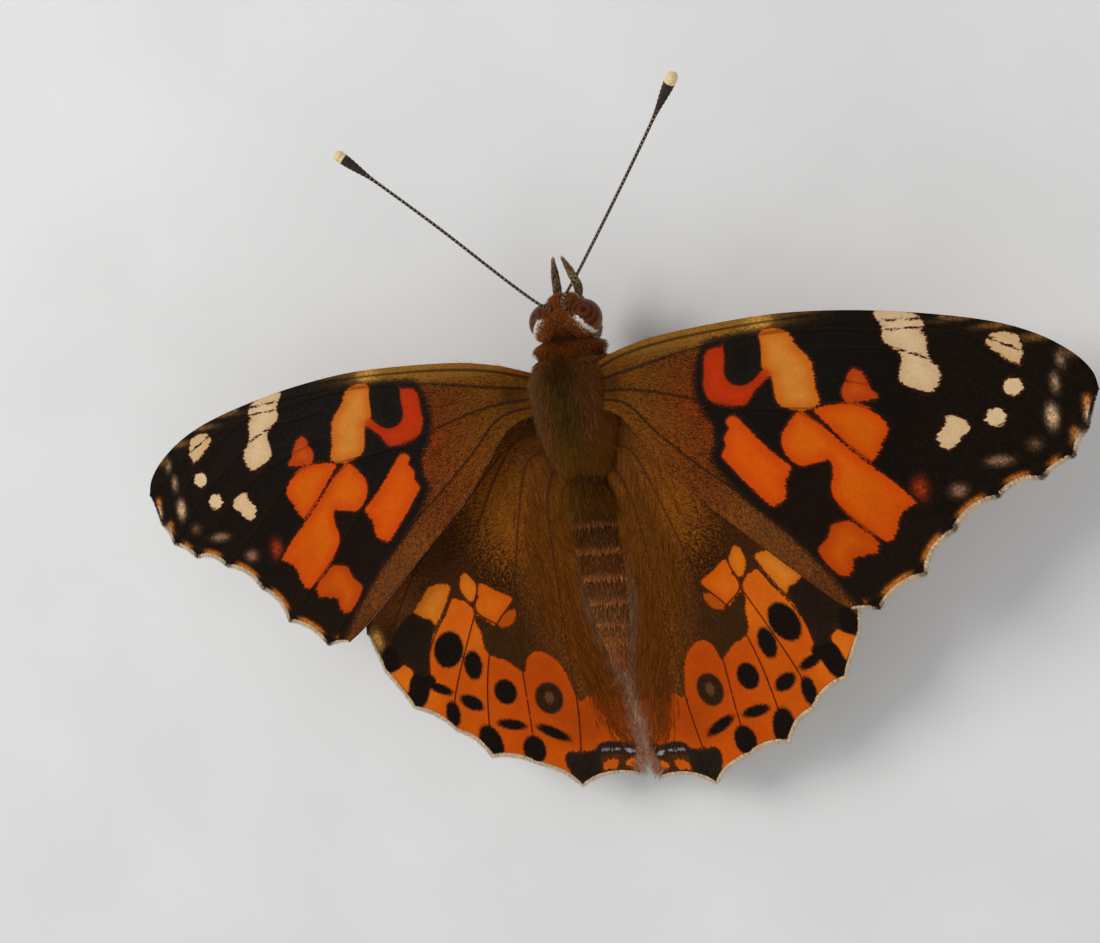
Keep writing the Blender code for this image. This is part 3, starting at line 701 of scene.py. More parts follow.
@dataclass(frozen=True)
class PeltFinish:
    """Fur, hair and loose scales: the colour is the mesh's own."""

    name: str
    roughness: float = 0.6
    specular: float = 0.1

    def make(self) -> Material:
        """Reads the pelt colour, with a fine grain."""
        nodes = Nodes(self.name)
        grain = nodes.noise(nodes.body_place(9000.0), 2.0, flat=False)
        colour = nodes.brighten(nodes.paint("pelt"), nodes.span(grain, 0.2, 0.8, 0.85, 1.15))
        normal = nodes.bump(grain, 0.3, 0.00002)
        return nodes.done(colour, self.roughness, normal, Specular_IOR_Level=self.specular)


@dataclass(frozen=True)
class ShellFinish:
    """Bare or finely scaled horn of legs, feelers and tongue, with rings along it."""

    name: str
    dark: Colour
    light: Colour
    roughness: float = 0.4

    def make(self) -> Material:
        """Mixes dark horn with light rings by the mesh's ring value, over fine grain."""
        nodes = Nodes(self.name)
        grain = nodes.noise(nodes.body_place(14000.0), 3.0, flat=False)
        share = nodes.span(nodes.plus(nodes.number("ring"), nodes.times(grain, 0.5)), 0.55, 0.95)
        colour = nodes.mix(share, self.dark, self.light)
        colour = nodes.brighten(colour, nodes.span(grain, 0.2, 0.8, 0.7, 1.3))
        normal = nodes.bump(grain, 0.4, 0.00002)
        return nodes.done(colour, self.roughness, normal, Specular_IOR_Level=0.25)


@dataclass(frozen=True)
class EyeFinish:
    """A faceted eye with darker bands and a pale rim."""

    name: str
    glass: Colour
    band: Colour
    rim: Colour

    def make(self) -> Material:
        """Bands follow the distance from the summit, and the facets are a fine bump."""
        nodes = Nodes(self.name)
        pole = nodes.number("pole")
        waves = nodes.math("SINE", nodes.times(pole, 17.0))
        colour = nodes.mix(nodes.span(waves, -0.8, 1.0, 0.0, 0.8), self.glass, self.band)
        colour = nodes.mix(nodes.span(pole, 0.85, 1.30, 0.0, 0.9), colour, self.rim)
        colour = nodes.mix(nodes.span(nodes.number("cap"), -0.14, 0.0), self.band, colour)
        facets = nodes.cells(nodes.body_place(26000.0), 0.15, flat=False)
        normal = nodes.bump(nodes.times(facets.outputs["Distance"], -1.0), 0.5, 0.00002)
        coat = {"Coat_Weight": 0.05, "Coat_Roughness": 0.12}
        return nodes.done(colour, 0.3, normal, Specular_IOR_Level=0.07, **coat)


@dataclass(frozen=True)
class Patch:
    """A coloured mark: its outline in the wing's frame, and its colours inside and at the edge."""

    outline: Line
    middle: Colour
    edge: Colour


@dataclass(frozen=True)
class Spot:
    """An oval mark: centre, radii and turn in degrees, in the wing's frame."""

    centre: Pair
    radii: Pair
    turn: float = 0.0
    colour: Colour = field(default_factory=lambda: shade(22, 13, 8))

    def depth(self, spots: Array) -> Array:
        """How deep each place lies inside: (1 - length in units of the radii) * lesser radius."""
        angle = math.radians(self.turn)
        x, y = spots[..., 0] - self.centre[0], spots[..., 1] - self.centre[1]
        u = (x * math.cos(angle) + y * math.sin(angle)) / self.radii[0]
        v = (y * math.cos(angle) - x * math.sin(angle)) / self.radii[1]
        return (1 - np.hypot(u, v)) * min(self.radii)


def lay_marks(spots: Array, marks: tuple) -> tuple[Array, Array]:
    """Joins marks: depth inside the nearest one, and their colours mixed by nearness.

    Args:
        spots: a grid of places in the wing's frame.
        marks: patches and ovals.

    Returns:
        The depth at each place, and its colour with alpha 1.
    """
    depths, colours = [], []
    for mark in marks:
        if isinstance(mark, Spot):
            depth = mark.depth(spots)
            colour = np.broadcast_to(mark.colour, (*depth.shape, 3))
        else:
            depth = depth_inside(spots, smooth_line(mark.outline, closed=True, steps=4))
            colour = mixed(mark.edge, mark.middle, smoothstep(0.0, 1.0, depth)[..., None])
        depths.append(depth)
        colours.append(colour)
    best = np.max(depths, axis=0)
    weights = np.exp((np.stack(depths) - best) / NEARNESS)
    colour = (weights[..., None] * np.stack(colours)).sum(0) / weights.sum(0)[..., None]
    return best, with_alpha(colour)


PALE_IN, PALE_OUT = shade(198, 120, 42), shade(188, 94, 14)
ORANGE_IN, ORANGE_OUT = shade(204, 80, 2), shade(194, 66, 1)
RED_IN, RED_OUT = shade(180, 46, 0), shade(166, 40, 0)
CREAM = shade(212, 180, 136)
SOOT = shade(24, 15, 8)

# The outlines of the marks and the lines of the veins, in each wing's frame
FORE_WARM = (
    Patch(((7, -3.2), (7.4, -2.75), (8.1, -2.7), (8.5, -2.45), (8.4, -3.3), (8.3, -4.3), (8.6, -4.9),
        (9.2, -5.2), (9.9, -5), (10.5, -4.5), (10.9, -4.2), (11.2, -4.6), (10.6, -5.1), (10, -5.6),
        (9.6, -6.1), (9.2, -6.4), (8.2, -6.3), (7.2, -5.9), (6.8, -5), (6.9, -4.2)), RED_IN, RED_OUT),
    Patch(((10.6, -2.2), (11.3, -1.95), (12.2, -2.2), (12.6, -2.7), (13, -3.4), (13.5, -4),
        (13.75, -4.8), (13.8, -5.8), (13.95, -6.7), (13.6, -7), (12.9, -7.1), (12.3, -6.95),
        (11.6, -6.7), (11.3, -6.2), (11.2, -5.4), (11.1, -4.8), (10.6, -4.2), (10.6, -3.4)), PALE_IN,
        PALE_OUT),
    Patch(((8.05, -7.2), (8.6, -6.95), (9.2, -7.6), (10.2, -8.8), (11.2, -9.8), (11.8, -10.4),
        (11.35, -11.2), (11.3, -12), (11, -12.4), (10.4, -12.6), (9.9, -12.2), (9.2, -11.4),
        (8.5, -10.6), (7.9, -9.8), (7.55, -9.3), (7.85, -8.7), (7.8, -8.2), (8.15, -7.7)), ORANGE_IN,
        ORANGE_OUT),
    Patch(((12.4, -7.25), (12.9, -7.2), (14, -8.1), (15, -9.2), (16, -10.2), (17, -11.1), (18, -12),
        (18.9, -13), (18.9, -13.2), (18.4, -13.4), (18, -13.7), (17.7, -14.6), (17.4, -15.1),
        (16.9, -15.2), (16.3, -14.8), (15.2, -13.8), (14.6, -13.1), (14.2, -12.4), (14.1, -11.8),
        (14.3, -11), (14.2, -10.2), (13.6, -10.2), (12.5, -10.35), (11.9, -10), (11.5, -9.4),
        (11.4, -8.8), (11.5, -8.3), (11.8, -7.9)), shade(200, 88, 3), ORANGE_OUT),
    Patch(((13.6, -7.15), (14.2, -6.95), (15.5, -6.9), (16.3, -7.05), (17, -7.5), (17.6, -8.1),
        (17.8, -8.6), (17.6, -9.2), (16.9, -10.3), (16.5, -10.4), (15.5, -9.5), (14.5, -8.3),
        (13.9, -7.6)), shade(196, 87, 3), ORANGE_OUT),
    Patch(((15.4, -6.6), (15.3, -6.2), (15.6, -5.6), (15.9, -5.1), (16.2, -4.95), (16.7, -5.3),
        (17.1, -6.3), (17.4, -6.8), (16.3, -6.9), (15.6, -6.85)), shade(192, 76, 10),
        shade(168, 56, 6)),
    Patch(((13.9, -14), (15, -13.9), (15.6, -14.4), (16.4, -15.1), (16.5, -15.5), (16.3, -15.9),
        (15, -16.1), (14.9, -16.6), (14.6, -17.1), (14.1, -17.1), (13.5, -16.6), (13.1, -16),
        (12.9, -15.4), (13.4, -14.9), (13.7, -14.4)), shade(187, 77, 3), shade(172, 58, 2)),
)
FORE_CREAM = (
    Patch(((17.6, -1.75), (18.2, -1.7), (19.6, -2), (20.3, -2.5), (20.4, -2.95), (20.1, -3.2),
        (20.5, -3.6), (20.5, -4.4), (20.6, -4.9), (21, -5.4), (21.15, -5.9), (20.9, -6.4), (20.5, -6.8),
        (19.9, -6.7), (19.2, -6.3), (18.8, -6), (18.8, -5.5), (19, -4.8), (18.9, -4.3), (18.3, -3.8),
        (18, -3.4), (18, -2.6), (17.7, -2.15)), CREAM, shade(200, 165, 122)),
    Patch(((23.8, -4.3), (24, -4.05), (24.3, -3.85), (25, -3.85), (25.6, -4.1), (25.8, -4.8),
        (25.8, -5.3), (25.6, -5.8), (25.4, -5.75), (24.8, -5.3), (24.2, -4.8)), CREAM,
        shade(200, 160, 112)),
    Spot((25.1, -7), (0.55, 0.52), 0, CREAM),
    Spot((24, -8.65), (0.56, 0.5), 0, CREAM),
    Patch(((21.2, -8.35), (21.7, -8.3), (22.2, -8.7), (22.45, -9), (22.3, -9.3), (21.9, -9.7),
        (21.5, -10.1), (21.2, -10.2), (20.8, -10), (20.6, -9.5), (20.8, -9.1), (21.1, -8.9)), CREAM,
        shade(206, 170, 125)),
)
FORE_DARK = (
    Patch(((8.3, -2.6), (8.9, -2.2), (9.8, -2.2), (10.5, -2.5), (10.6, -3), (10.5, -4), (10.3, -4.5),
        (9.7, -5), (9, -5.1), (8.5, -4.9), (8.2, -4.3), (8.3, -3.3)), shade(15, 11, 4), SOOT),
)
FORE_BASE = (
    (-2.5, 0.5), (4, 0), (7.4, -0.6), (7.4, -1.8), (6.9, -2.7), (6.5, -3.6), (6.3, -5), (6.6, -6.3),
    (7.2, -7.2), (7.3, -8.5), (7, -9.4), (7.9, -10.9), (9.4, -12.6), (11, -14.1), (12.6, -15.9),
    (14.1, -17.8), (15.2, -20), (10, -18), (3, -12), (-2.5, -7),
)
FORE_COSTAL = (
    (6, -0.5), (6, -2.2), (8, -2.15), (9.4, -2), (10.6, -1.95), (11.4, -1.75), (11.5, -0.8), (9, -0.6),
)
FORE_VEINS = {
    "costa": ((-1.2, -3.3), (1.5, -2.4), (5, -1.85), (10, -1.55), (14, -1.5)),
    "radius": ((-1.2, -3.9), (2, -3.35), (7, -2.5), (13, -2.25), (18, -2.8), (20.5, -3.1),
        (24.1, -4.15), (27.6, -6.2), (29.78, -7.7)),
    "radius_1": ((10.8, -2.2), (14.5, -2), (19.8, -2.4), (22.6, -3.05)),
    "radius_5": ((20.5, -3.1), (22.8, -4.3), (25, -6.1), (27.4, -8.1), (29.1, -9.85)),
    "media_1": ((14.6, -3.4), (18.7, -4.05), (20.6, -4.95), (24.7, -7.9), (28.2, -11.4)),
    "media_2": ((14.9, -5.4), (18, -6.35), (20.6, -7.5), (23, -9.3), (26.3, -12.55)),
    "media_3": ((13.3, -7), (15.4, -6.9), (17.3, -7.7), (20, -10.1), (23.8, -13.35)),
    "cubitus": ((-1.2, -4.4), (2.5, -4.7), (7, -5.9), (10, -6.6), (13.3, -7)),
    "cubitus_1": ((12.3, -6.95), (14, -8.1), (17, -10.85), (19.1, -13), (21.1, -15.1)),
    "cubitus_2": ((8.7, -6.4), (10.4, -8.5), (14.9, -13.4), (16.8, -15.2), (19.2, -17.5)),
    "anal": ((-1.2, -4.9), (1.4, -5.4), (3.6, -7.6), (6.3, -10), (8.6, -11.8), (12.2, -15.3),
        (14.2, -17.3), (16.2, -19.35)),
}
HIND_VEINS = {
    "subcosta": ((-1, -2.4), (2, -1.9), (7.5, -3.6), (11.5, -8), (13.6, -12), (15, -14.2)),
    "radius": ((2.4, -3.6), (6, -6.6), (10, -10), (12.8, -13.8), (14.5, -17.1)),
    "media": ((-1, -3.1), (1.2, -3), (3.2, -5), (5.4, -8.2), (7.3, -10.6), (8.6, -13), (10.3, -15.2),
        (11.6, -17.4), (13.1, -20)),
    "media_3": ((6.9, -13.8), (8, -15.8), (9.2, -18.1), (10, -19.9), (10.5, -22.05)),
    "cell_end": ((7.3, -10.6), (6.4, -12), (6.9, -13.8), (5.7, -15)),
    "cubitus": ((-1, -3.8), (1, -4.6), (2.4, -8), (3.6, -11.8), (4.1, -13.4), (5.7, -15), (6.7, -16.9),
        (7.6, -19.9), (8.4, -24.35)),
    "cubitus_2": ((3.8, -12.4), (4.2, -15), (4.7, -18.2), (5, -21.8), (5.4, -25.25)),
    "anal": ((-1, -4.5), (0.3, -7.5), (0.8, -12), (1.3, -17.5), (1.6, -22), (2.6, -27.3)),
}
HIND_WARM = (
    Patch(((4.2, -13.4), (5.2, -12.7), (6.2, -12), (6.5, -12.9), (6.9, -13.5), (6.9, -14.1),
        (6.4, -14.5), (5.9, -15), (5.4, -14.7), (4.6, -13.9)), shade(214, 106, 14), shade(196, 84, 4)),
    Patch(((4.2, -14.2), (4.9, -14.3), (5.6, -15), (5.2, -15.3), (4.5, -15)), shade(150, 72, 8),
        shade(140, 66, 8)),
    Patch(((6.4, -12.2), (6.7, -11.5), (7, -11.1), (7.4, -11.4), (7.6, -12.2), (7.3, -13),
        (6.9, -13.1)), shade(212, 120, 30), shade(200, 100, 14)),
    Patch(((8.3, -11.9), (8.9, -11.6), (9.8, -11.7), (10.3, -12.2), (10.9, -12.8), (11.3, -13.3),
        (10.8, -13.7), (10, -14.3), (9.4, -13.7), (8.7, -12.7)), shade(216, 128, 40),
        shade(204, 108, 22)),
    Patch(((7.4, -13.2), (7.9, -12.9), (8.4, -12.8), (9, -13.7), (9.6, -14.3), (10.2, -14.9),
        (10.6, -15.5), (10.9, -16.3), (11.1, -17.2), (11.3, -18), (11.6, -18.9), (12.2, -19.6),
        (13.3, -20), (12.3, -21.2), (10.5, -22.3), (9.6, -23.2), (8.6, -24.6), (7, -25), (5.4, -25.5),
        (4.3, -25.6), (3.2, -26.2), (3.05, -25.2), (2.9, -24.6), (1.2, -24.75), (0, -24.4),
        (-1.5, -24.4), (-1.3, -23.2), (-0.8, -22), (-0.1, -21.2), (0.7, -20.9), (1.3, -21.2),
        (1.6, -20.3), (1.8, -19.2), (2.2, -18.2), (2.9, -17.5), (3.6, -17.3), (4.2, -17.7),
        (4.6, -18.6), (5.1, -18.2), (5.7, -17.6), (6.3, -17.3), (6.8, -16.9), (7, -16.2), (6.95, -15.4),
        (7.15, -14.6), (7.1, -13.8)), shade(196, 76, 4), shade(206, 84, 6)),
    Patch(((12.4, -17.4), (12.9, -16.8), (13.3, -17), (14, -17.2), (13.7, -17.9), (13.3, -18.6),
        (12.9, -18.7), (12.8, -18)), shade(222, 122, 26), shade(214, 106, 18)),
    Spot((-1.2, -25.95), (0.45, 0.28), -20, shade(200, 96, 14)),
    Spot((0.25, -25.9), (0.6, 0.35), -10, shade(196, 88, 12)),
)
HIND_DARK = (
    Patch(((10.1, -14.1), (10.8, -13.7), (11.4, -13.3), (12.4, -13.9), (13.3, -14.9), (13.2, -15.9),
        (12.6, -16.6), (12.1, -17.3), (11.7, -17.7), (11.2, -17), (10.8, -16), (10.4, -15)),
        shade(30, 20, 11), shade(36, 23, 12)),
    Spot((9.5, -16.2), (1, 1.32), 28),
    Spot((8.06, -17.55), (0.62, 1.02), 8),
    Spot((6.28, -19.75), (0.78, 0.88)),
    Spot((3.38, -20.65), (0.95, 1.1), 0, shade(44, 26, 12)),
    Spot((10.75, -18.85), (0.85, 0.34), 28),
    Spot((11.45, -18.2), (0.45, 0.5), 40),
    Spot((8.8, -20.15), (0.84, 0.48), 34),
    Spot((6.4, -22.1), (0.98, 0.36), 16),
    Spot((3.65, -23.1), (1.2, 0.36), 33),
    Spot((13.75, -16.2), (0.62, 0.9), 15),
    Spot((12.35, -18.75), (0.72, 1.3), 20),
    Spot((10.33, -20.75), (0.5, 0.92), 5),
    Spot((8.15, -23.2), (0.78, 1.35), -8),
    Spot((5.25, -24.1), (0.78, 1)),
    Spot((5.4, -24.9), (0.35, 0.6)),
    Patch(((0.7, -24.6), (1.8, -24.9), (3.1, -24.7), (3.3, -25.5), (3, -26.3), (2.7, -27.3), (1.5, -27),
        (1, -26.2), (0.9, -25.4)), shade(30, 22, 16), shade(36, 26, 18)),
    Patch(((-2.1, -25.2), (-1.2, -24.6), (0.1, -24.25), (0.9, -24.5), (0.8, -25.1), (-0.4, -25.15),
        (-1.7, -25.55)), shade(34, 26, 20), shade(38, 28, 20)),
)
HIND_PEARL = (
    Spot((3.36, -20.6), (0.3, 0.4), 0, shade(88, 58, 34)),
    Spot((-1.3, -25.1), (0.42, 0.1), 18, shade(138, 140, 150)),
    Spot((-0.4, -24.9), (0.22, 0.09), 0, shade(128, 128, 138)),
    Spot((0.3, -24.8), (0.3, 0.08), 5, shade(118, 118, 128)),
)

# Dark veins that cut the cream marks, and the plainer forms of the underside
FORE_CUTS = (
    ((17.8, -2.3), (20.2, -2.5)), ((17.8, -2.85), (20.8, -3.05)), ((18.5, -3.95), (20.9, -5)),
    ((23.9, -4), (26, -5.15)),
)
FORE_FIELD_BELOW = (
    (-2, 0), (8, -1.6), (14, -2), (18, -6), (20, -11), (19, -17), (12, -17), (0, -7),
)
FORE_DOTS_BELOW = ((27.0, -7.2), (25.6, -9.6), (23.4, -11.2))
EYESPOTS_BELOW = (
    (12.4, -16.6, 0.8), (10.2, -18.2, 0.55), (8, -19.8, 0.5), (5.9, -20.9, 0.95), (3.4, -21.2, 0.75),
)


def layers(*values: Array) -> dict[str, Array]:
    """Names the pattern's values: each kind of mark's depth and colour, the ground and the dusting."""
    return dict(zip(("warm", "patch", "pearl", "cream", "dark", "soot", "ground", "dust"), values))


def dust_level(density: Array) -> Array:
    """How much of the dusting shows, from its density."""
    return np.clip(1.6 * density - 0.35, -0.35, 1.2)


@dataclass
class Wing:
    """One wing: a thin scaled sheet with raised veins, its fringe and its hair.

    Attributes:
        side: which side of the body.
        hinge: where the wing's frame stands, for the right and the left side.
        dihedral, pitch: turns about Y and X, in degrees.
        sweep: turn of the left wing in its own plane, in degrees.
        leading, margin, trailing: the outline; the margin is the vein tips, each with the depth
            of the scallop after it.
        veins: the lines of the veins.
        soft: soft marks, each with x, y, its reach along both, strength, and red, green and blue.
        rows, columns: steps of the sheet from the root to the margin and from front to back.
        half_sheet, ridge, pleat: half its thickness, height of the veins, sag between them.
        fringe: length of the fringe beyond the sheet.
        fringe_hairs: hairs to a millimetre of the margin.
    """

    side: Side
    name: ClassVar[str]
    slot: ClassVar[Slot]
    hinge: ClassVar[dict[Side, Triple]]
    dihedral: ClassVar[float]
    pitch: ClassVar[float]
    sweep: ClassVar[float]
    leading: ClassVar[Line]
    margin: ClassVar[Line]
    trailing: ClassVar[Line]
    veins: ClassVar[dict[str, Line]]
    soft: ClassVar[tuple]
    rows: int = 200
    columns: int = 164
    half_sheet: float = 0.06
    ridge: float = 0.05
    pleat: float = 0.04
    fringe: float = 0.36
    fringe_hairs: int = 150

    @property
    def label(self) -> str:
        """The node's name."""
        return f"{self.name}_{self.side.label}"

    def turn(self) -> Array:
        """The wing's turn: about Y by the dihedral, about X by the pitch, about Z by the sweep."""
        sign = self.side.value
        sweep = self.sweep if self.side is Side.LEFT else 0.0
        turns = ((-sign * self.dihedral, "Y"), (self.pitch, "X"), (sign * sweep, "Z"))
        made = np.eye(3)
        for degrees, axis in turns:
            made = made @ np.array(Matrix.Rotation(math.radians(degrees), 3, axis))
        return made

    def origin(self) -> Array:
        """The hinge in the body frame."""
        return np.array(self.hinge[self.side]) * (self.side.value, 1, 1)

    def place(self, spots: Array, height: Array | float = 0.0) -> Array:
        """Carries places to the body frame, by hinge + turn * (side * s, t, height)."""
        s, t = spots[..., 0], spots[..., 1]
        local = np.stack([self.side.value * s, t, s * 0 + height], -1)
        return local @ self.turn().T + self.origin()

    def lift(self, spots: Array) -> Array:
        """Height of the sheet's middle over the wing's plane."""
        raise NotImplementedError

    def rim(self) -> Array:
        """The scalloped outer margin: chords between vein tips, each bowed inward by a sine."""
        tips = np.array(self.margin)
        u = np.linspace(0, 1, 9)[:-1, None]
        runs = []
        for (s0, t0, dip), (s1, t1, _) in zip(tips[:-1], tips[1:]):
            chord = np.array((s1 - s0, t1 - t0))
            inward = np.array((chord[1], -chord[0])) / np.hypot(*chord)
            runs.append(np.array((s0, t0)) + u * chord + dip * np.sin(math.pi * u) * inward)
        return evenly(np.concatenate([*runs, tips[-1:, :2]]), 400)

    def inner(self, trailing: Array) -> Array:
        """The trailing edge from the root outward, as the sheet has it."""
        return trailing

    def net(self) -> Array:
        """The sheet's grid of places by Coons' formula.

        Each place is the sum of the blend of the two long edges and the blend of the two short
        ones, less the blend of the four corners.
        """
        front = evenly(smooth_line(self.leading), self.rows)
        back = self.inner(evenly(smooth_line(self.trailing[::-1]), self.rows))
        rim = evenly(self.rim(), self.columns)
        run = unit(np.gradient(rim, axis=0))
        window = np.hanning(15) / np.hanning(15).sum()
        padded = [np.pad(part, 7, mode="edge") for part in run.T]
        run = unit(np.stack([np.convolve(part, window, "valid") for part in padded], 1))
        outward = np.stack([-run[:, 1], run[:, 0]], 1)
        share = np.linspace(0, 1, self.columns)[:, None]
        rim = rim - self.fringe * outward * np.sin(math.pi * share) ** 0.25
        rim = rim + (back[-1] - rim[-1]) * share**12
        u = np.linspace(0, 1, self.rows)[:, None, None]
        v = share[None]
        root = front[0] + (back[0] - front[0]) * share
        corners = mixed(mixed(front[0], front[-1], u), mixed(back[0], back[-1], u), v)
        return mixed(front[:, None], back[:, None], v) + mixed(root[None], rim[None], u) - corners

    def snap(self, spots: Array) -> Array:
        """Moves each place less than half a step from a vein onto it, down the distance's slope."""
        near = self.vein_distance(spots)
        steps = [np.linalg.norm(np.gradient(spots, axis=k), axis=-1) for k in range(2)]
        step = np.minimum(*steps)
        tiny = 1e-4
        slope = [(self.vein_distance(spots + shift) - near) / tiny for shift in tiny * np.eye(2)]
        slope = np.stack(slope, -1)
        inside = np.zeros(near.shape)
        inside[1:-1, 1:-1] = 1.0
        return spots - (near * inside * (near < 0.52 * step))[..., None] * slope

    def vein_distance(self, spots: Array) -> Array:
        """How far each place lies from the nearest vein."""
        lines = [smooth_line(vein, steps=5) for vein in self.veins.values()]
        return np.min([line_distance(spots, line) for line in lines], axis=0)

    def markings(self, spots: Array, below: bool) -> dict[str, Array]:
        """The pattern's values over a grid of places, for the upper side or the underside."""
        raise NotImplementedError

    def smudges(self, spots: Array) -> Array:
        """Soft marks: their colours mixed by their bells, with the strongest bell as alpha.

        Args:
            spots: the grid of places.

        Returns:
            Colours with alpha.
        """
        bells = np.stack([mark[4] * glow(spots, mark[:2], mark[2:4]) for mark in self.soft])
        tints = np.array([shade(*mark[5:]) for mark in self.soft])
        mixed = np.tensordot(bells, tints, (0, 0)) / (bells.sum(0)[..., None] + 1e-6)
        return with_alpha(mixed, np.clip(bells.max(0), 0, 1))

    def pattern(self, spots: Array, vein: Array, below: bool) -> dict[str, Array]:
        """All values that the scale finish reads.

        rag is how ragged an edge is: most where a mark's depth falls outward along the wing.

        Args:
            spots: the grid of places.
            vein: distance to the nearest vein.
            below: whether it is the underside.

        Returns:
            Values by attribute name, still as grids.
        """
        values = self.markings(spots, below)
        values["mist"] = self.smudges(spots) * (1, 1, 1, 0.0 if below else 1.0)
        width = np.clip(0.13 - 0.0035 * np.hypot(spots[..., 0], spots[..., 1]), 0.07, 0.13)
        values["vein"] = vein / width
        step = np.linalg.norm(np.gradient(spots, axis=0), axis=-1) + 1e-6
        falls = [-np.gradient(values[name], axis=0) / step for name in ("warm", "pearl")]
        fall = np.maximum(falls[0], 0) + np.maximum(falls[1], 0)
        values["rag"] = 0.03 + 0.34 * np.clip(fall, 0, 1)
        return values

    def build(self, finishes: list[Material]) -> None:
        """The sheet: two skins a little apart, joined round the edge.

        The upper skin stands at lift + half the sheet + ridge * exp(-(vein distance / 0.11)^2) -
        pleat * (1 - exp(-(vein distance / 0.9)^2)), and the lower one mirrors the ridges.

        Args:
            finishes: the upper and the lower finish.
        """
        spots = self.snap(self.net())
        vein = self.vein_distance(spots)
        middle = self.lift(spots) - self.pleat * (1 - np.exp(-((vein / 0.9) ** 2)))
        relief = self.half_sheet + self.ridge * np.exp(-((vein / 0.11) ** 2))
        s, t = np.moveaxis(spots - LAY_CENTRE, -1, 0)
        lay = np.stack([np.arctan2(t, s) * LAY_ROUND, np.hypot(s, t)], -1)
        low, high = spots.min((0, 1)), spots.max((0, 1))
        flat = (spots - low) / (high - low)
        upper = grid_faces(self.rows, self.columns, closed=False)
        numbers = np.arange(self.rows * self.columns).reshape(self.rows, self.columns)
        sides = [numbers[0], numbers[1:, -1], numbers[-1, -2::-1], numbers[-2:0:-1, 0]]
        edge = np.concatenate(sides)
        after = np.roll(edge, -1)
        count = numbers.size
        rim = np.stack([after, edge, edge + count, after + count], 1)
        skins = [self.place(spots, middle + relief), self.place(spots, middle - relief)]
        form = Form(np.concatenate(skins).reshape(-1, 3))
        form.quads = np.concatenate([upper, upper[:, ::-1] + count, rim])
        form.finish = np.concatenate([np.zeros(len(upper)), np.ones(len(upper) + len(rim))])
        above, beneath = self.pattern(spots, vein, False), self.pattern(spots, vein, True)
        for name, value in above.items():
            both = np.stack([value, beneath[name]])
            form.values[name] = both.reshape(-1, both.shape[-1]) if both.ndim == 4 else both.ravel()
        form.unwrap("Lay", np.tile(lay.reshape(-1, 2), (2, 1)))
        halves = np.stack([flat * (0.98, 0.48) + (0.01, low) for low in (0.51, 0.01)])
        form.unwrap("OFBake", halves.reshape(-1, 2))
        form.outward().put(f"{self.label}_sheet", finishes, self.slot, self.label)

    def roots_at(self, spots: Array, ahead: Array, colour: Array, lower: float = 0.0) -> Roots:
        """Roots of hair at places of the wing, lying along given directions of its plane."""
        base, tips = (
            self.place(there, self.lift(there) + self.half_sheet - lower)
            for there in (spots, spots + 0.2 * ahead)
        )
        normal = np.broadcast_to(self.turn()[:, 2], base.shape)
        low, high = np.array((-4.0, -28.0)), np.array((31.0, 1.0))
        unwrap = (spots - low) / (high - low)
        return Roots(base, normal, unit(tips - base), unwrap, colour, np.ones(len(spots)))

    def fringe_tint(self, places: Array, rng: Chance) -> Array:
        """Colours of the fringe along the margin."""
        raise NotImplementedError

    def build_fringe(self, finish: Material, rng: Chance) -> None:
        """Short tapered hairs set close along the scalloped margin, pointing outward.

        Args:
            finish: the hair's material.
            rng: the seeded source of chance.
        """
        rim = self.rim()
        length = np.linalg.norm(np.diff(rim, axis=0), axis=1).sum()
        count = int(length * self.fringe_hairs)
        share = np.sort(rng.random(count))
        spots = evenly(rim, share)
        run = unit(evenly(np.gradient(rim, axis=0), share))
        outward = np.stack([-run[:, 1], run[:, 0]], 1)
        inset = self.fringe * np.sin(math.pi * share) ** 0.25 + 0.05
        spots = spots - outward * inset[:, None]
        roots = self.roots_at(spots, outward, self.fringe_tint(spots, rng), lower=0.05)
        roots.place = roots.place + np.outer(rng.uniform(-0.05, 0.05, count), self.turn()[:, 2])
        roots.size = (inset + 0.01) / 0.42
        lock = Lock((0.28, 0.42), 0.05, 0.06, 0.02, 0.14, 0.08, 0.0, (0.0, 0.6), 0.12, 0.16)
        lock.grow(roots, rng).put(f"{self.label}_fringe", [finish], self.slot)


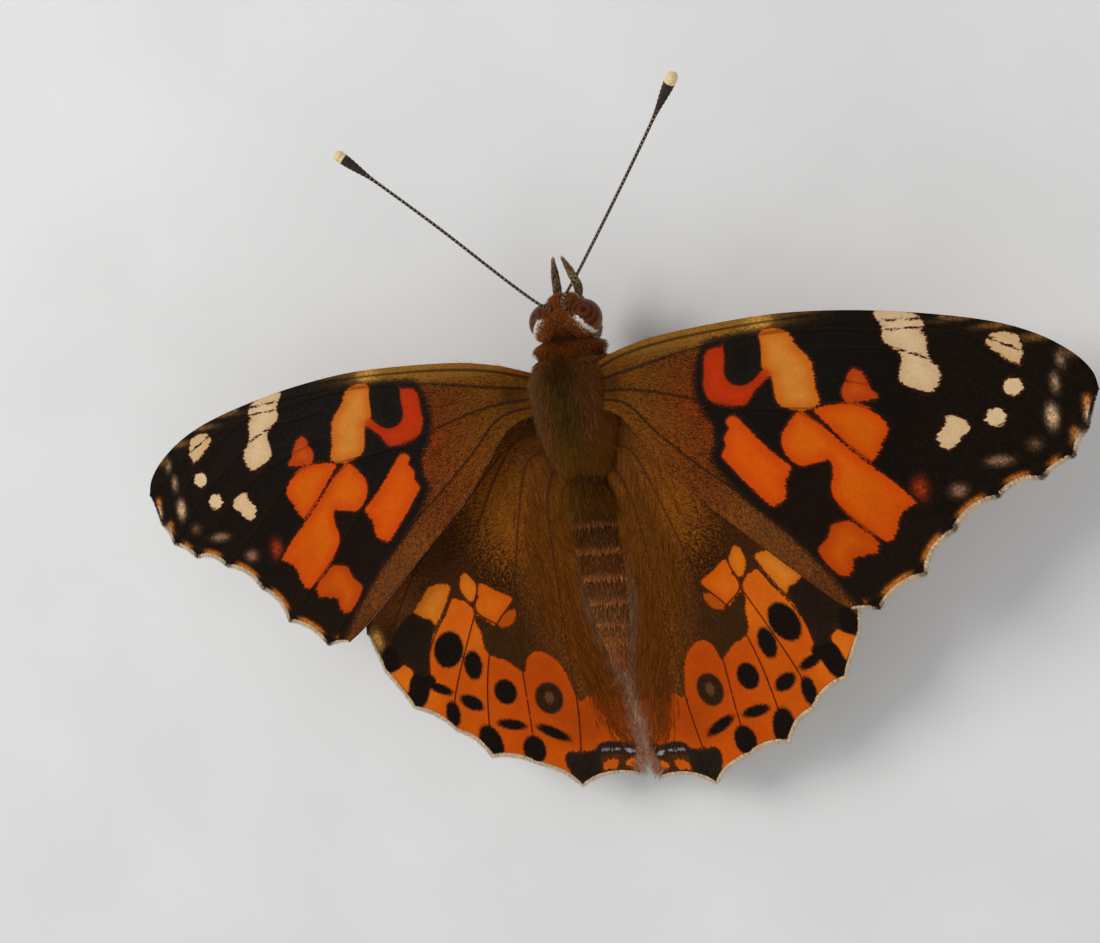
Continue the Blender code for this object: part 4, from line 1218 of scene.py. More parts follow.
class Forewing(Wing):
    """The long front wing, black-tipped with cream spots over an orange field."""

    name = "forewing"
    slot = Slot.FOREWING
    hinge = {Side.RIGHT: (2.6, 3.0, 0.5), Side.LEFT: (3.4, 3.0, 0.5)}
    dihedral = -1.6
    pitch = -4.0
    sweep = -1.0
    leading = (
        (-1.6, -3.1), (0.3, -2.35), (1.6, -1.95), (4, -1.5), (8, -1.2), (12, -1.12), (16, -1.45),
        (20, -2.1), (24, -3.05), (26.6, -4.1), (28.5, -5.4), (29.5, -6.6), (29.78, -7.7),
    )
    margin = (
        (29.78, -7.7, 0.04), (29.1, -9.85, 0.14), (28.2, -11.4, 0.14), (26.3, -12.55, 0.36),
        (23.8, -13.35, 0.38), (21.1, -15.1, 0.38), (19.2, -17.5, 0.36), (16.2, -19.35, 0.05),
        (14.5, -19.15, 0),
    )
    trailing = (
        (14.5, -19.15), (13.3, -18.35), (11, -16.4), (8.5, -14.2), (6, -12), (4, -10.1), (2.3, -7.9),
        (0.8, -6.1), (-1.6, -5.2),
    )
    veins = FORE_VEINS
    dust_zones = (
        (1.5, -4, 2.5, 2.5, 112, 62, 2), (5, -3.5, 2, 2, 100, 46, 2), (4.5, -1.9, 3, 0.7, 138, 94, 26),
        (8.5, -1.6, 2.5, 0.6, 134, 88, 16), (10.8, -1.5, 0.7, 0.5, 196, 138, 44),
        (6, -6.5, 1.4, 2.4, 128, 44, 1), (6.5, -10, 2, 1.8, 106, 50, 8), (4, -8, 2, 1.5, 118, 60, 2),
        (11, -15.3, 2.5, 1.8, 104, 56, 20), (13.6, -17.8, 1, 0.8, 88, 44, 12),
    )
    soft = (
        (29.15, -8.85, 0.24, 0.5, 1.5, 204, 168, 124), (28.45, -10.3, 0.24, 0.32, 1.4, 196, 156, 110),
        (29.05, -8.25, 0.2, 0.25, 1.2, 170, 100, 34), (28.2, -9.9, 0.2, 0.2, 1, 160, 92, 34),
        (27.85, -5.75, 0.22, 0.42, 0.9, 128, 100, 76), (27.42, -7.05, 0.2, 0.42, 0.95, 148, 116, 88),
        (27.1, -8.9, 0.26, 0.5, 1.3, 190, 152, 114), (26, -10.4, 0.35, 0.3, 0.6, 110, 78, 46),
        (24, -11.15, 0.6, 0.22, 0.9, 142, 104, 76), (21.5, -12.65, 0.4, 0.3, 0.9, 142, 100, 74),
        (19.3, -12.35, 0.4, 0.55, 0.75, 150, 50, 10), (21.6, -2.55, 0.3, 0.2, 0.7, 130, 90, 60),
        (22.6, -2.72, 1.3, 0.15, 0.8, 112, 76, 36), (24.8, -3.38, 1.2, 0.16, 0.9, 124, 82, 36),
        (26.8, -4.3, 0.9, 0.2, 0.9, 120, 78, 36), (28.3, -5.35, 0.5, 0.3, 0.8, 112, 74, 36),
        (8, -1.45, 3.6, 0.42, 1.2, 132, 90, 26), (10.7, -1.45, 0.7, 0.34, 1.9, 200, 144, 60),
        (12.6, -1.25, 2.4, 0.14, 0.7, 96, 58, 20), (3.2, -2.1, 3.2, 0.4, 0.8, 116, 78, 22),
        (0.6, -4.1, 0.8, 0.9, 0.6, 32, 20, 8),
    )
    black_zones = (
        (25.5, -8, 4, 4, 21, 13, 6), (13, -12.5, 2, 2, 25, 13, 6), (14, -5, 4, 3, 16, 10, 5),
        (17.5, -17, 2.5, 2, 25, 15, 7),
    )
    brown_zones = (
        (2, -4, 2, 1.5, 30, 20, 8), (6.5, -6, 1.5, 3, 50, 18, 4), (11, -15.3, 3.5, 2.6, 76, 40, 16),
    )
    under_zones = (
        (3, -5, 4, 4, 190, 100, 70), (14, -17, 5, 2, 196, 176, 150), (26.5, -8, 4, 5, 150, 130, 96),
        (22, -3, 4, 1.2, 140, 120, 90),
    )

    def smudges(self, spots: Array) -> Array:
        """Adds a golden crescent in each scallop to the soft marks, just inside the fringe."""
        made = super().smudges(spots)
        margin = np.array(self.margin)[1:, :2]
        depth = line_distance(spots, self.rim())
        tip = np.min(np.linalg.norm(spots[..., None, :] - margin, axis=-1), axis=-1)
        crescent = 1.2 * np.exp(-(((depth - 0.42) / 0.17) ** 2)) * smoothstep(0.75, 1.35, tip)
        share = (crescent / (crescent + made[..., 3] + 1e-6))[..., None]
        tint = mixed(made[..., :3], shade(178, 98, 26), share)
        front = smoothstep(29.0, 28.6, spots[..., 0]) * smoothstep(-8.5, -10.0, spots[..., 1])
        return with_alpha(tint, np.clip(np.maximum(made[..., 3], crescent * front), 0, 1))

    def lift(self, spots: Array) -> Array:
        """A gentle arch over the middle, and a dip down to the hinge."""
        arch = 0.60 * glow(spots, (14.5, -7.5), (10.0, 6.5))
        return arch - 0.85 * np.exp(-spots[..., 0] / 2.4)

    def markings(self, spots: Array, below: bool) -> dict[str, Array]:
        """The pattern: golden base, orange field cut by black, cream spots on the dark tip.

        Args:
            spots: the grid of places.
            below: whether it is the underside.

        Returns:
            Values by attribute name.
        """
        warm, patch = lay_marks(spots, FORE_WARM)
        low = 0.8 * glow(spots, (17.2, -13.6), (1.8, 1.8))[..., None]
        patch[..., :3] = mixed(patch[..., :3], shade(190, 70, 2), low)
        pearl, cream = lay_marks(spots, FORE_CREAM)
        dark, soot = lay_marks(spots, FORE_DARK)
        for cut in FORE_CUTS:
            pearl = np.minimum(pearl, line_distance(spots, np.array(cut)) - 0.05)
        base, costal = (depth_inside(spots, closed_line(line)) for line in (FORE_BASE, FORE_COSTAL))
        gold = smoothstep(-0.25, 0.5, np.maximum(base, costal))
        share = gold[..., None]
        if below:
            reach = smoothstep(-0.4, 0.8, depth_inside(spots, closed_line(FORE_FIELD_BELOW)))
            tip = blend_zones(spots, self.under_zones, shade(92, 70, 48))
            ground = mixed(tip, shade(58, 34, 22), reach[..., None])
            warm = np.maximum(warm + 0.35, np.where(gold > 0.5, 0.5, NO_MARK))
            rosy = shade(204, 104, 66) * share + patch[..., :3] * (1 - share) * 1.1
            dots = tuple(Spot(place, (0.34, 0.34), 0, shade(98, 102, 112)) for place in FORE_DOTS_BELOW)
            rings, ring_tint = lay_marks(spots, dots)
            cream = np.where((rings > pearl)[..., None], ring_tint, cream)
            chalk = np.broadcast_to(shade(196, 178, 150), ground.shape)
            return layers(
                warm, with_alpha(np.clip(rosy, 0, 1)), np.maximum(pearl, rings), cream, dark - 0.1, soot,
                with_alpha(ground), with_alpha(chalk, 0.34 * (1 - reach) + 0.05),
            )
        black = blend_zones(spots, self.black_zones, shade(19, 12, 6))
        brown = blend_zones(spots, self.brown_zones, shade(50, 26, 5))
        tint = blend_zones(spots, self.dust_zones, shade(140, 74, 14))
        density = 0.62 * gold + 0.45 * glow(spots, (5.0, -1.7), (5.5, 0.55)) * gold
        dust = with_alpha(tint, dust_level(density))
        return layers(warm, patch, pearl, cream, dark, soot, with_alpha(mixed(black, brown, share)), dust)

    def fringe_tint(self, places: Array, rng: Chance) -> Array:
        """Cream between the veins and dark brown at their tips."""
        tips = np.array(self.margin)[1:8, :2]
        near = np.min(np.linalg.norm(places[:, None] - tips[None], axis=2), axis=1)
        share = smoothstep(0.35, 0.75, near + rng.normal(0, 0.12, len(near)))[:, None]
        apex = smoothstep(29.2, 28.3, places[:, :1])
        return mixed(shade(50, 32, 20), shade(222, 194, 158), share * apex)


class Hindwing(Wing):
    """The rounded rear wing: orange with black spots, and brown silky hair along its inner edge."""

    name = "hindwing"
    slot = Slot.HINDWING
    hinge = {Side.RIGHT: (2.4, -1.0, -0.5), Side.LEFT: (3.2, -1.0, -0.5)}
    dihedral = 9.0
    pitch = 7.75
    sweep = -4.4
    leading = (
        (-1.4, -2.1), (0.6, -1.3), (3, -0.9), (6, -1.3), (9, -2.9), (11.8, -5.7), (13.7, -9.1),
        (14.7, -12.3), (15, -14.2),
    )
    margin = (
        (15, -14.2, 0), (14.5, -17.1, 0.08), (13.1, -20, 0.26), (10.5, -22.05, 0.28),
        (8.4, -24.35, 0.26), (5.4, -25.25, 0.26), (2.6, -27.3, 0.42), (-1.5, -26.85, 0.28),
    )
    trailing = (
        (-1.5, -26.85), (-2.2, -25.3), (-2.5, -23.4), (-2.4, -21.3), (-1.8, -19.3), (-1, -17),
        (-0.5, -14), (-0.3, -10.5), (-0.4, -7.6), (-1.4, -5.9),
    )
    veins = HIND_VEINS
    soft = (
        (14.35, -14.7, 0.35, 0.6, 1.2, 196, 140, 72), (9.5, -6.2, 2.2, 0.5, 0.5, 120, 84, 58),
        (-0.4, -26, 1.6, 0.5, 0.8, 58, 34, 18), (11.6, -15.4, 0.5, 1.1, 0.5, 78, 48, 24),
    )
    ground_zones = (
        (0.5, -12, 1.8, 10, 72, 38, 8), (9.4, -9, 1.8, 3, 62, 33, 11),
        (12.6, -12, 1.3, 1.8, 94, 52, 20), (6.5, -9.5, 1.6, 2, 50, 24, 3),
        (5, -11.8, 1.2, 1.4, 42, 20, 3), (5.6, -16.2, 1.6, 1.3, 52, 30, 8), (3, -5, 3, 4, 62, 34, 6),
        (12.5, -15.5, 1.2, 1.5, 34, 22, 10),
    )
    dust_zones = (
        (3, -5, 3, 4, 132, 72, 12), (0, -16, 2, 8, 116, 60, 12), (11, -10, 2, 5, 108, 60, 24),
    )
    field_zones = (
        (8.6, -14.2, 1.3, 1.8, 200, 104, 18), (3, -19.5, 1.6, 2.2, 160, 56, 3),
        (0.3, -22.5, 1.7, 1.8, 130, 46, 2), (8.5, -21, 3, 2, 186, 78, 6),
        (12, -19.4, 1.2, 0.9, 208, 106, 20), (5.9, -20.8, 1.2, 2.2, 176, 62, 4),
    )
    under_zones = (
        (4, -6, 4, 4, 120, 96, 66), (11, -9, 3, 4, 132, 106, 76), (6, -15, 4, 3, 112, 90, 64),
        (0, -18, 2, 6, 170, 152, 128), (8, -23, 6, 1.8, 188, 170, 144),
    )
    spacing: ClassVar[float] = 1.15
    meeting: ClassVar[float] = 0.25
    flank: ClassVar[Line] = (
        (-20.4, -19.9, -18.8, -17.6, -16.2, -14.6, -12.9, -11.1, -9.3, -7.6, -6.0),
        (0.03, 0.10, 0.40, 0.70, 1.02, 1.30, 1.40, 1.40, 1.35, 1.20, 1.30),
    )

    def lift(self, spots: Array) -> Array:
        """Bends down to pass under the forewing: -0.3 * ln(1 + exp(-room / 0.3))."""
        fore = Forewing(self.side)
        above = (self.place(spots) - fore.origin()) @ fore.turn()
        there = np.stack([self.side.value * above[..., 0], above[..., 1]], -1)
        room = fore.lift(there) - above[..., 2] - self.spacing
        return -0.3 * np.log1p(np.exp(np.clip(-room / 0.3, -40, 40)))

    def inner(self, trailing: Array) -> Array:
        """Ends the sheet just inside the abdomen, and behind it where the two wings meet."""
        made = trailing.copy()
        sign, turn = self.side.value, self.turn()
        y = self.place(made)[:, 1]
        half = np.interp(y, self.flank[0], self.flank[1])
        behind = smoothstep(-19.0, -20.4, y)
        line = self.meeting * behind + sign * (half * (1 - behind) - 0.16 * behind)
        shift = self.origin()[0] + turn[0, 1] * made[:, 1] + turn[0, 2] * self.lift(made)
        there = (line - shift) / (sign * turn[0, 0])
        beside = smoothstep(-23.2, -21.6, y) * smoothstep(-5.0, -7.5, made[:, 1])
        made[:, 0] = np.maximum(made[:, 0], there) * (1 - beside) + there * beside
        return made

    def markings(self, spots: Array, below: bool) -> dict[str, Array]:
        """The pattern: brown base and inner field, orange field with rows of black spots.

        Args:
            spots: the grid of places.
            below: whether it is the underside.

        Returns:
            Values by attribute name.
        """
        if below:
            return self.marbling(spots)
        warm, patch = lay_marks(spots, HIND_WARM)
        ground = blend_zones(spots, self.ground_zones, shade(56, 30, 8))
        tint = blend_zones(spots, self.dust_zones, shade(120, 62, 8))
        root = 0.55 * glow(spots, (3.5, -7.0), (3.2, 5.0)) + 0.35 * glow(spots, (0.5, -16.0), (2.5, 8.0))
        density = root + 0.12 + 0.35 * glow(spots, (12.0, -11.0), (2.2, 4.0))
        field_shade = blend_zones(spots, self.field_zones, shade(184, 74, 5))
        tail = 0.85 * glow(spots, (5.0, -20.0), (10.0, 7.5))[..., None]
        patch[..., :3] = mixed(patch[..., :3], field_shade, tail)
        return layers(
            warm, patch, *lay_marks(spots, HIND_PEARL), *lay_marks(spots, HIND_DARK),
            with_alpha(ground), with_alpha(tint, dust_level(density)),
        )

    def marbling(self, spots: Array) -> dict[str, Array]:
        """The underside: olive and grey marbling cut by white veins, and a row of five eyespots."""
        kinds = ((1.0, 1.1, (196, 160, 84)), (0.26, 0.26, (150, 170, 190)), (0.62, 0.68, (34, 34, 44)))
        marks = []
        for wide, high, tint in kinds:
            ovals = [Spot((s, t), (wide * r, high * r), 0, shade(*tint)) for s, t, r in EYESPOTS_BELOW]
            marks.extend(lay_marks(spots, tuple(ovals)))
        ground = blend_zones(spots, self.under_zones, shade(128, 104, 76))
        chalk = np.broadcast_to(shade(214, 200, 176), ground.shape)
        density = 0.45 + 0.15 * np.sin(spots[..., 0] * 1.1 + spots[..., 1] * 0.5)
        return layers(*marks, with_alpha(ground), with_alpha(chalk, density))

    def fringe_tint(self, places: Array, rng: Chance) -> Array:
        """Cream throughout."""
        share = rng.random((len(places), 1))
        return mixed(shade(206, 176, 140), shade(232, 208, 174), share)


@dataclass
class Body:
    """Head, neck, thorax and abdomen as one furred skin.

    Attributes:
        stations: place along Y, height of the middle, half width, reach up and reach down, from
            the front of the head to the tip of the abdomen, already inside the coat.
        rings, around: the grid's steps along and round the body.
        square: how square the rings are; 2 gives an ellipse.
        hairs: roots over the whole skin, from which each piece of the coat takes its own.
        joints: where one ring of the abdomen ends and the next begins, along Y.
        back_colours_and_shade: the back's colours, as zones for blend_zones, one of them painted shade
            down the left flank of the abdomen.
    """

    stations: Line = (
        (4.9, -1.25, 0.3, 0.24, 0.45), (4.7, -1.2, 0.75, 0.6, 0.95), (4.2, -1.1, 1, 0.92, 1.18),
        (3.5, -1.08, 1.06, 1.05, 1.18), (2.85, -1.12, 1.12, 0.92, 1.05), (2.45, -1.2, 0.92, 0.76, 0.9),
        (2.15, -1.25, 1.2, 0.88, 1.02), (1.65, -1.33, 2.1, 1.5, 1.6), (1.25, -1.4, 2.16, 1.64, 1.7),
        (0.95, -1.45, 2.12, 1.72, 1.72), (0.5, -1.5, 2.46, 2.06, 2.02), (-0.4, -1.6, 2.84, 2.4, 2.3),
        (-1.8, -1.7, 2.94, 2.52, 2.42), (-3.2, -1.8, 2.76, 2.44, 2.36), (-4.3, -1.9, 2.46, 2.32, 2.22),
        (-5.2, -2, 2.12, 2.1, 2.04), (-6.05, -2.12, 1.7, 1.62, 1.68), (-6.55, -2.2, 1.4, 1.34, 1.4),
        (-7, -2.28, 1.42, 1.36, 1.36), (-7.7, -2.46, 1.66, 1.62, 1.62), (-9.3, -2.95, 1.96, 1.82, 1.82),
        (-11.1, -3.35, 2.06, 1.92, 1.92), (-12.9, -3.6, 2.01, 1.92, 1.92),
        (-14.65, -3.7, 1.81, 1.72, 1.72), (-16.25, -3.7, 1.52, 1.48, 1.48),
        (-17.65, -3.65, 1.16, 1.17, 1.17), (-18.85, -3.6, 0.76, 0.8, 0.8),
        (-19.5, -3.55, 0.44, 0.5, 0.5), (-19.86, -3.5, 0.18, 0.2, 0.2),
    )
    rings: int = 260
    around: int = 72
    square: float = 2.2
    hairs: int = 88000
    joints: tuple[float, ...] = (
        -6.7, -8.45, -10.2, -12, -13.78, -15.45, -16.95, -18.25, -19.4, -20.4,
    )
    back_colours_and_shade: ClassVar[tuple] = (
        (0, -2.5, 0.7, 2.4, 66, 48, 10), (0, 0.2, 1, 0.9, 52, 30, 6),
        (-1.5, -1.5, 0.7, 2.4, 92, 58, 20), (1.5, -1.5, 0.7, 2.4, 88, 52, 22),
        (-2.6, -0.8, 0.6, 2.2, 112, 80, 54), (2.6, -1.5, 0.6, 2.2, 108, 62, 22),
        (2.4, -4.2, 0.8, 1.1, 150, 78, 24), (-2.4, -4.2, 0.8, 1.1, 128, 74, 34),
        (0, -5.4, 1.6, 0.9, 112, 68, 12), (0, 1.5, 2.2, 0.45, 92, 42, 6), (0, 2.2, 1, 0.25, 40, 20, 6),
        (0, 3.7, 0.8, 0.8, 118, 62, 20), (0, 2.8, 0.9, 0.35, 80, 42, 6),
        (0, 4.7, 0.8, 0.5, 108, 62, 24), (0, -7.6, 2.2, 1.2, 62, 28, 4), (0, -10, 2.2, 1.6, 68, 38, 12),
        # The zone at (-1.9, -12) is painted shade: it darkens only the left flank of the abdomen, under
        # the fold of the left hindwing.
        (-1.9, -12, 0.8, 4, 66, 34, 8), (0, -13, 2.2, 1.6, 94, 52, 16), (0, -16, 2, 1.4, 112, 70, 34),
        (0, -18.6, 1.6, 1.2, 138, 78, 40),
    )

    def plate_share(self, y: Array) -> Array:
        """How far along its plate of the abdomen each place lies, from 0 in front to 1."""
        joints = np.array(self.joints)
        number = np.clip(np.searchsorted(-joints, -y) - 1, 0, len(joints) - 2)
        return (joints[number] - y) / (joints[number] - joints[number + 1])

    def skin(self) -> Array:
        """The skin's grid: superellipse rings, width * cos^(2/p) and reach * sin^(2/p).

        p is square. On the abdomen each ring of plates swells towards its rear and steps in at
        the joint, and a shallow groove runs down the middle of the thorax.
        """
        line = smooth_line(self.stations, steps=12)
        y = np.linspace(self.stations[0][0], self.stations[-1][0], self.rings)
        middle, wide, up, down = (np.interp(-y, -line[:, 0], line[:, k]) for k in range(1, 5))
        share = self.plate_share(y)
        swell = 0.045 * (share - 0.5) - 0.05 * np.exp(-((share / 0.07) ** 2))
        plate = 1 + np.where(y < self.joints[0], swell, 0.0)[:, None]
        angle = np.arange(self.around) / self.around * 2 * math.pi
        power = 2 / self.square
        cos, sin = np.cos(angle), np.sin(angle)
        x = wide[:, None] * plate * np.sign(cos) * np.abs(cos) ** power
        y = y[:, None] + x * 0
        reach = np.where(sin > 0, up[:, None], down[:, None]) * plate
        z = middle[:, None] + reach * np.sign(sin) * np.abs(sin) ** power
        groove = glow(np.stack([x, y], -1), (0.0, -2.0), (0.35, 3.4)) * (sin > 0)
        return np.stack([x, y, z - 0.10 * groove], -1)

    def pelt(self, places: Array, normal: Array) -> Array:
        """The coat's colours: zones of the back with gilt hems and painted shade on the left flank of the
        abdomen, and pale grey underneath.
        """
        x, y = places[..., 0], places[..., 1]
        back = blend_zones(np.stack([x, y], -1), self.back_colours_and_shade, shade(82, 48, 18))
        hem = np.where(y < self.joints[0], smoothstep(0.62, 0.95, self.plate_share(y)), 0.0)
        gilt = mixed(shade(110, 62, 22), shade(172, 100, 46), smoothstep(-7, -14, y)[..., None])
        back = mixed(back, gilt, 0.58 * hem[..., None])
        below = smoothstep(0.15, -0.45, normal[..., 2])[..., None]
        return mixed(back, shade(176, 156, 128), below)

    def build(self, finish: Material) -> Array:
        """Puts the skin in the scene and gives its grid."""
        grid = self.skin()
        form = skin_form(grid)
        along, across = np.gradient(grid, axis=0), np.gradient(grid, axis=1)
        normal = unit(np.cross(across, along))
        height = (grid - grid.mean(1, keepdims=True))[..., 2:]
        normal = np.where(normal[..., 2:] * height < 0, -normal, normal)
        colour = self.pelt(grid, normal).reshape(-1, 3) * 0.45
        ends = np.stack([colour[: self.around].mean(0), colour[-self.around :].mean(0)])
        form.values["pelt"] = with_alpha(np.concatenate([colour, ends]))
        form.put("body_skin", [finish], Slot.FUR, "head", "collar", "thorax", "abdomen")
        return grid

    def lie(self, roots: Roots) -> Array:
        """The lie of the coat: rearward, outward over the sides, forward and up on the face."""
        x, y = roots.place[:, 0], roots.place[:, 1]
        swirl = 0.35 * np.sin(2.3 * x + 1.1 * y) + 0.25 * np.sin(1.7 * y - 2.9 * x + 1.3)
        outward = 0.32 * np.clip(x / 2.2, -1, 1) * (y > -7) + 0.3 * swirl * (y > -6.5)
        ahead = np.where(y > 3.1, 1.0, -1.0)
        outward = np.where(y > 2.5, 0.9 * np.sin(3.0 * x) + 0.3 * swirl, outward)
        return unit(np.stack([outward, ahead, 0 * x], 1))

    def dress(self, grid: Array, finish: Material, rng: Chance) -> None:
        """Grows the coat in pieces: head, collar, thorax, abdomen, and the long loose hair.

        Args:
            grid: the skin's grid.
            finish: the coat's material.
            rng: the seeded source of chance.
        """
        roots = scatter(grid, self.hairs, rng)
        middle = grid.mean(1)
        centre = [np.interp(-roots.place[:, 1], -middle[:, 1], column) for column in middle.T]
        away = ((roots.place - np.stack(centre, 1)) * roots.normal).sum(1)
        roots.normal = np.where(away[:, None] < 0, -roots.normal, roots.normal)
        roots.colour = self.pelt(roots.place, roots.normal) * 1.55
        roots.lie = self.lie(roots)
        y = roots.place[:, 1]
        chance = rng.random(len(y))
        parts = (
            ("head", y > 2.35, Lock((0.30, 0.60), 0.058, 0.55, 0.25, 0.5, 0.2, 0.04), 8500),
            ("collar", (y <= 2.35) & (y > 0.7), Lock((0.45, 0.75), 0.062, 0.42, 0.22, 0.25, 0.16), 10000),
            ("thorax", (y <= 0.7) & (y > -6.6), Lock((0.6, 1.15), 0.052, 0.28, 0.14, 0.16, 0.14), 14000),
            ("abdomen", y <= -6.6, Lock((0.26, 0.52), 0.075, 0.40, 0.24, 0.22, 0.1, 0.02), 12400),
        )
        for name, here, lock, most in parts:
            chosen = roots.keep(chosen_first(here, chance, most))
            lock.grow(chosen, rng).put(f"coat_{name}", [finish], Slot.FUR)
        self.mane(roots, chance, finish, rng)

    def mane(self, roots: Roots, chance: Array, finish: Material, rng: Chance) -> None:
        """The long loose hair over the wing roots, rear thorax and flanks, and the tail's tuft; the left
        flank's hair is darkened as painted shade.

        Args:
            roots: places over the whole skin.
            chance: a number of 0 to 1 for each of them.
            finish: the coat's material.
            rng: the seeded source of chance.
        """
        x, y = roots.place[:, 0], roots.place[:, 1]
        high = roots.normal[:, 2]
        hand = np.sign(x)
        shoulder = (high > 0.0) & (high < 0.90) & (y < 0.6) & (y > -5.6)
        rear = (high > -0.1) & (y < -3.2) & (y > -8.8)
        flank = (high < 0.35) & (high > -0.75) & (y < 0.0) & (y > -19.0)
        tail = (high > -0.5) & (y < -18.2)
        tufts = (
            ("shoulder", shoulder, 5000, (0.62, -0.8), (0.9, 1.8), 0.24, (108, 74, 42), (106, 60, 16)),
            ("rear", rear, 5000, (0.26, -1.0), (1.3, 2.5), 0.17, (112, 74, 18), (106, 66, 14)),
            # The left flank's darker tint, 62, 34, 10 against 106, 66, 32 on the right, is painted shade
            # under the fold of the left hindwing.
            ("flank", flank, 4200, (0.25, -1.0), (0.7, 1.3), 0.34, (62, 34, 10), (106, 66, 32)),
            ("tail", tail, 560, (0.12, -1.0), (2.0, 3.2), 0.10, (140, 92, 60), (140, 92, 60)),
        )
        for name, here, most, (out, back), length, rise, left, right in tufts:
            order = chosen_first(here, chance, most)
            chosen = roots.keep(order)
            sway = 0.18 * np.sin(1.3 * y[order] + 1.7 * x[order])
            chosen.lie = unit(np.stack([hand[order] * out + sway, 0 * sway + back, 0 * sway], 1))
            chosen.size = np.where(y[order] > -8.0, 1.0, 0.7)
            tint = np.where(hand[order, None] < 0, shade(*left), shade(*right))
            bright = rng.uniform(0.6, 1.3, (len(order), 1))
            chosen.colour = 0.45 * chosen.colour + 0.55 * tint * bright
            lock = Lock(length, 0.038, rise, 0.16, 0.16, 0.16, shares=(0.0, 0.4, 0.75))
            lock.grow(chosen, rng).put(f"mane_{name}", [finish], Slot.FUR)


@dataclass
class Eye:
    """A domed, faceted eye that looks out and forward, with white scales and fur along its rear.

    Attributes:
        centre, radii: of the dome, for the right side.
        facing: the way the faceted cap looks.
        summit: the middle of its darker bands.
        rows, around: the grid's steps from pole to pole and round.
        tries: directions tried for the scales and the fur.
    """

    side: Side
    centre: Triple = (1.25, 3.25, -1.15)
    radii: Triple = (1.20, 1.24, 1.34)
    facing: Triple = (0.78, 0.62, -0.10)
    summit: Triple = (0.42, 0.42, 0.80)
    rows: int = 60
    around: int = 96
    tries: int = 16000

    def mirror(self) -> Array:
        """Turns the right side's coordinates into those of the eye's own side."""
        return np.array((self.side.value, 1, 1))

    def dome(self, direction: Array) -> Array:
        """The point of the dome in a direction: centre + radii * direction."""
        return (np.array(self.centre) + direction * np.array(self.radii)) * self.mirror()

    def build(self, finish: Material) -> None:
        """Puts the dome in the scene, closed at both poles, with angles from facing and summit."""
        p = np.linspace(0.03, math.pi - 0.03, self.rows)[:, None]
        q = (np.arange(self.around) / self.around * 2 * math.pi)[None]
        way = np.stack([np.cos(p) + 0 * q, np.sin(p) * np.cos(q), np.sin(p) * np.sin(q)], -1)
        form = skin_form(self.dome(way))
        way = np.concatenate([way.reshape(-1, 3), ((1.0, 0.0, 0.0), (-1.0, 0.0, 0.0))])
        form.values["cap"] = way @ unit(np.array(self.facing))
        form.values["pole"] = np.arccos(np.clip(way @ unit(np.array(self.summit)), -1, 1))
        name = f"eye_{self.side.label}"
        form.put(f"{name}_dome", [finish], Slot.EYE, name)

    def dress(self, white: Material, fur: Material, rng: Chance) -> None:
        """Sets white scales along the cap's rear edge and head fur behind them.

        Args:
            white: the scales' material.
            fur: the fur's material.
            rng: the seeded source of chance.
        """
        way = unit(rng.normal(0, 1, (self.tries, 3)))
        facing, mirror = unit(np.array(self.facing)), self.mirror()
        cap = way @ facing
        u = np.arctan2(way[:, 2], way[:, 1]) / (2 * math.pi) + 0.5
        unwrap = np.stack([u, np.arccos(way[:, 0]) / math.pi], 1)
        normal = unit(way / np.array(self.radii)) * mirror
        place = self.dome(way)
        rear = (cap < 0.05) & (cap > -0.40) & (way[:, 1] < 0.10)
        furry = (cap < -0.30) & (way[:, 2] > -0.75)
        scale = Lock((0.12, 0.20), 0.11, 0.20, 0.1, 1.2, 0.1, 0.02, (0.0, 0.5), 0.05, 0.3)
        tuft = Lock((0.30, 0.55), 0.06, 0.40, 0.2, 0.5, 0.2, 0.03)
        parts = (
            ("scales", rear, 1900, white, shade(222, 212, 196), scale),
            ("fur", furry, 2400, fur, shade(132, 70, 26), tuft),
        )
        for label, mask, most, finish, tint, lock in parts:
            chosen = np.flatnonzero(mask)[:most]
            size = np.ones(len(chosen))
            lie = np.broadcast_to(facing * mirror, (len(chosen), 3)) + (0.0, 0.35, 0.0)
            colour = np.broadcast_to(tint, (len(chosen), 3))
            roots = Roots(place[chosen], normal[chosen], lie, unwrap[chosen], colour, size)
            lock.grow(roots, rng).put(f"eye_{label}_{self.side.label}", [finish], Slot.FUR)


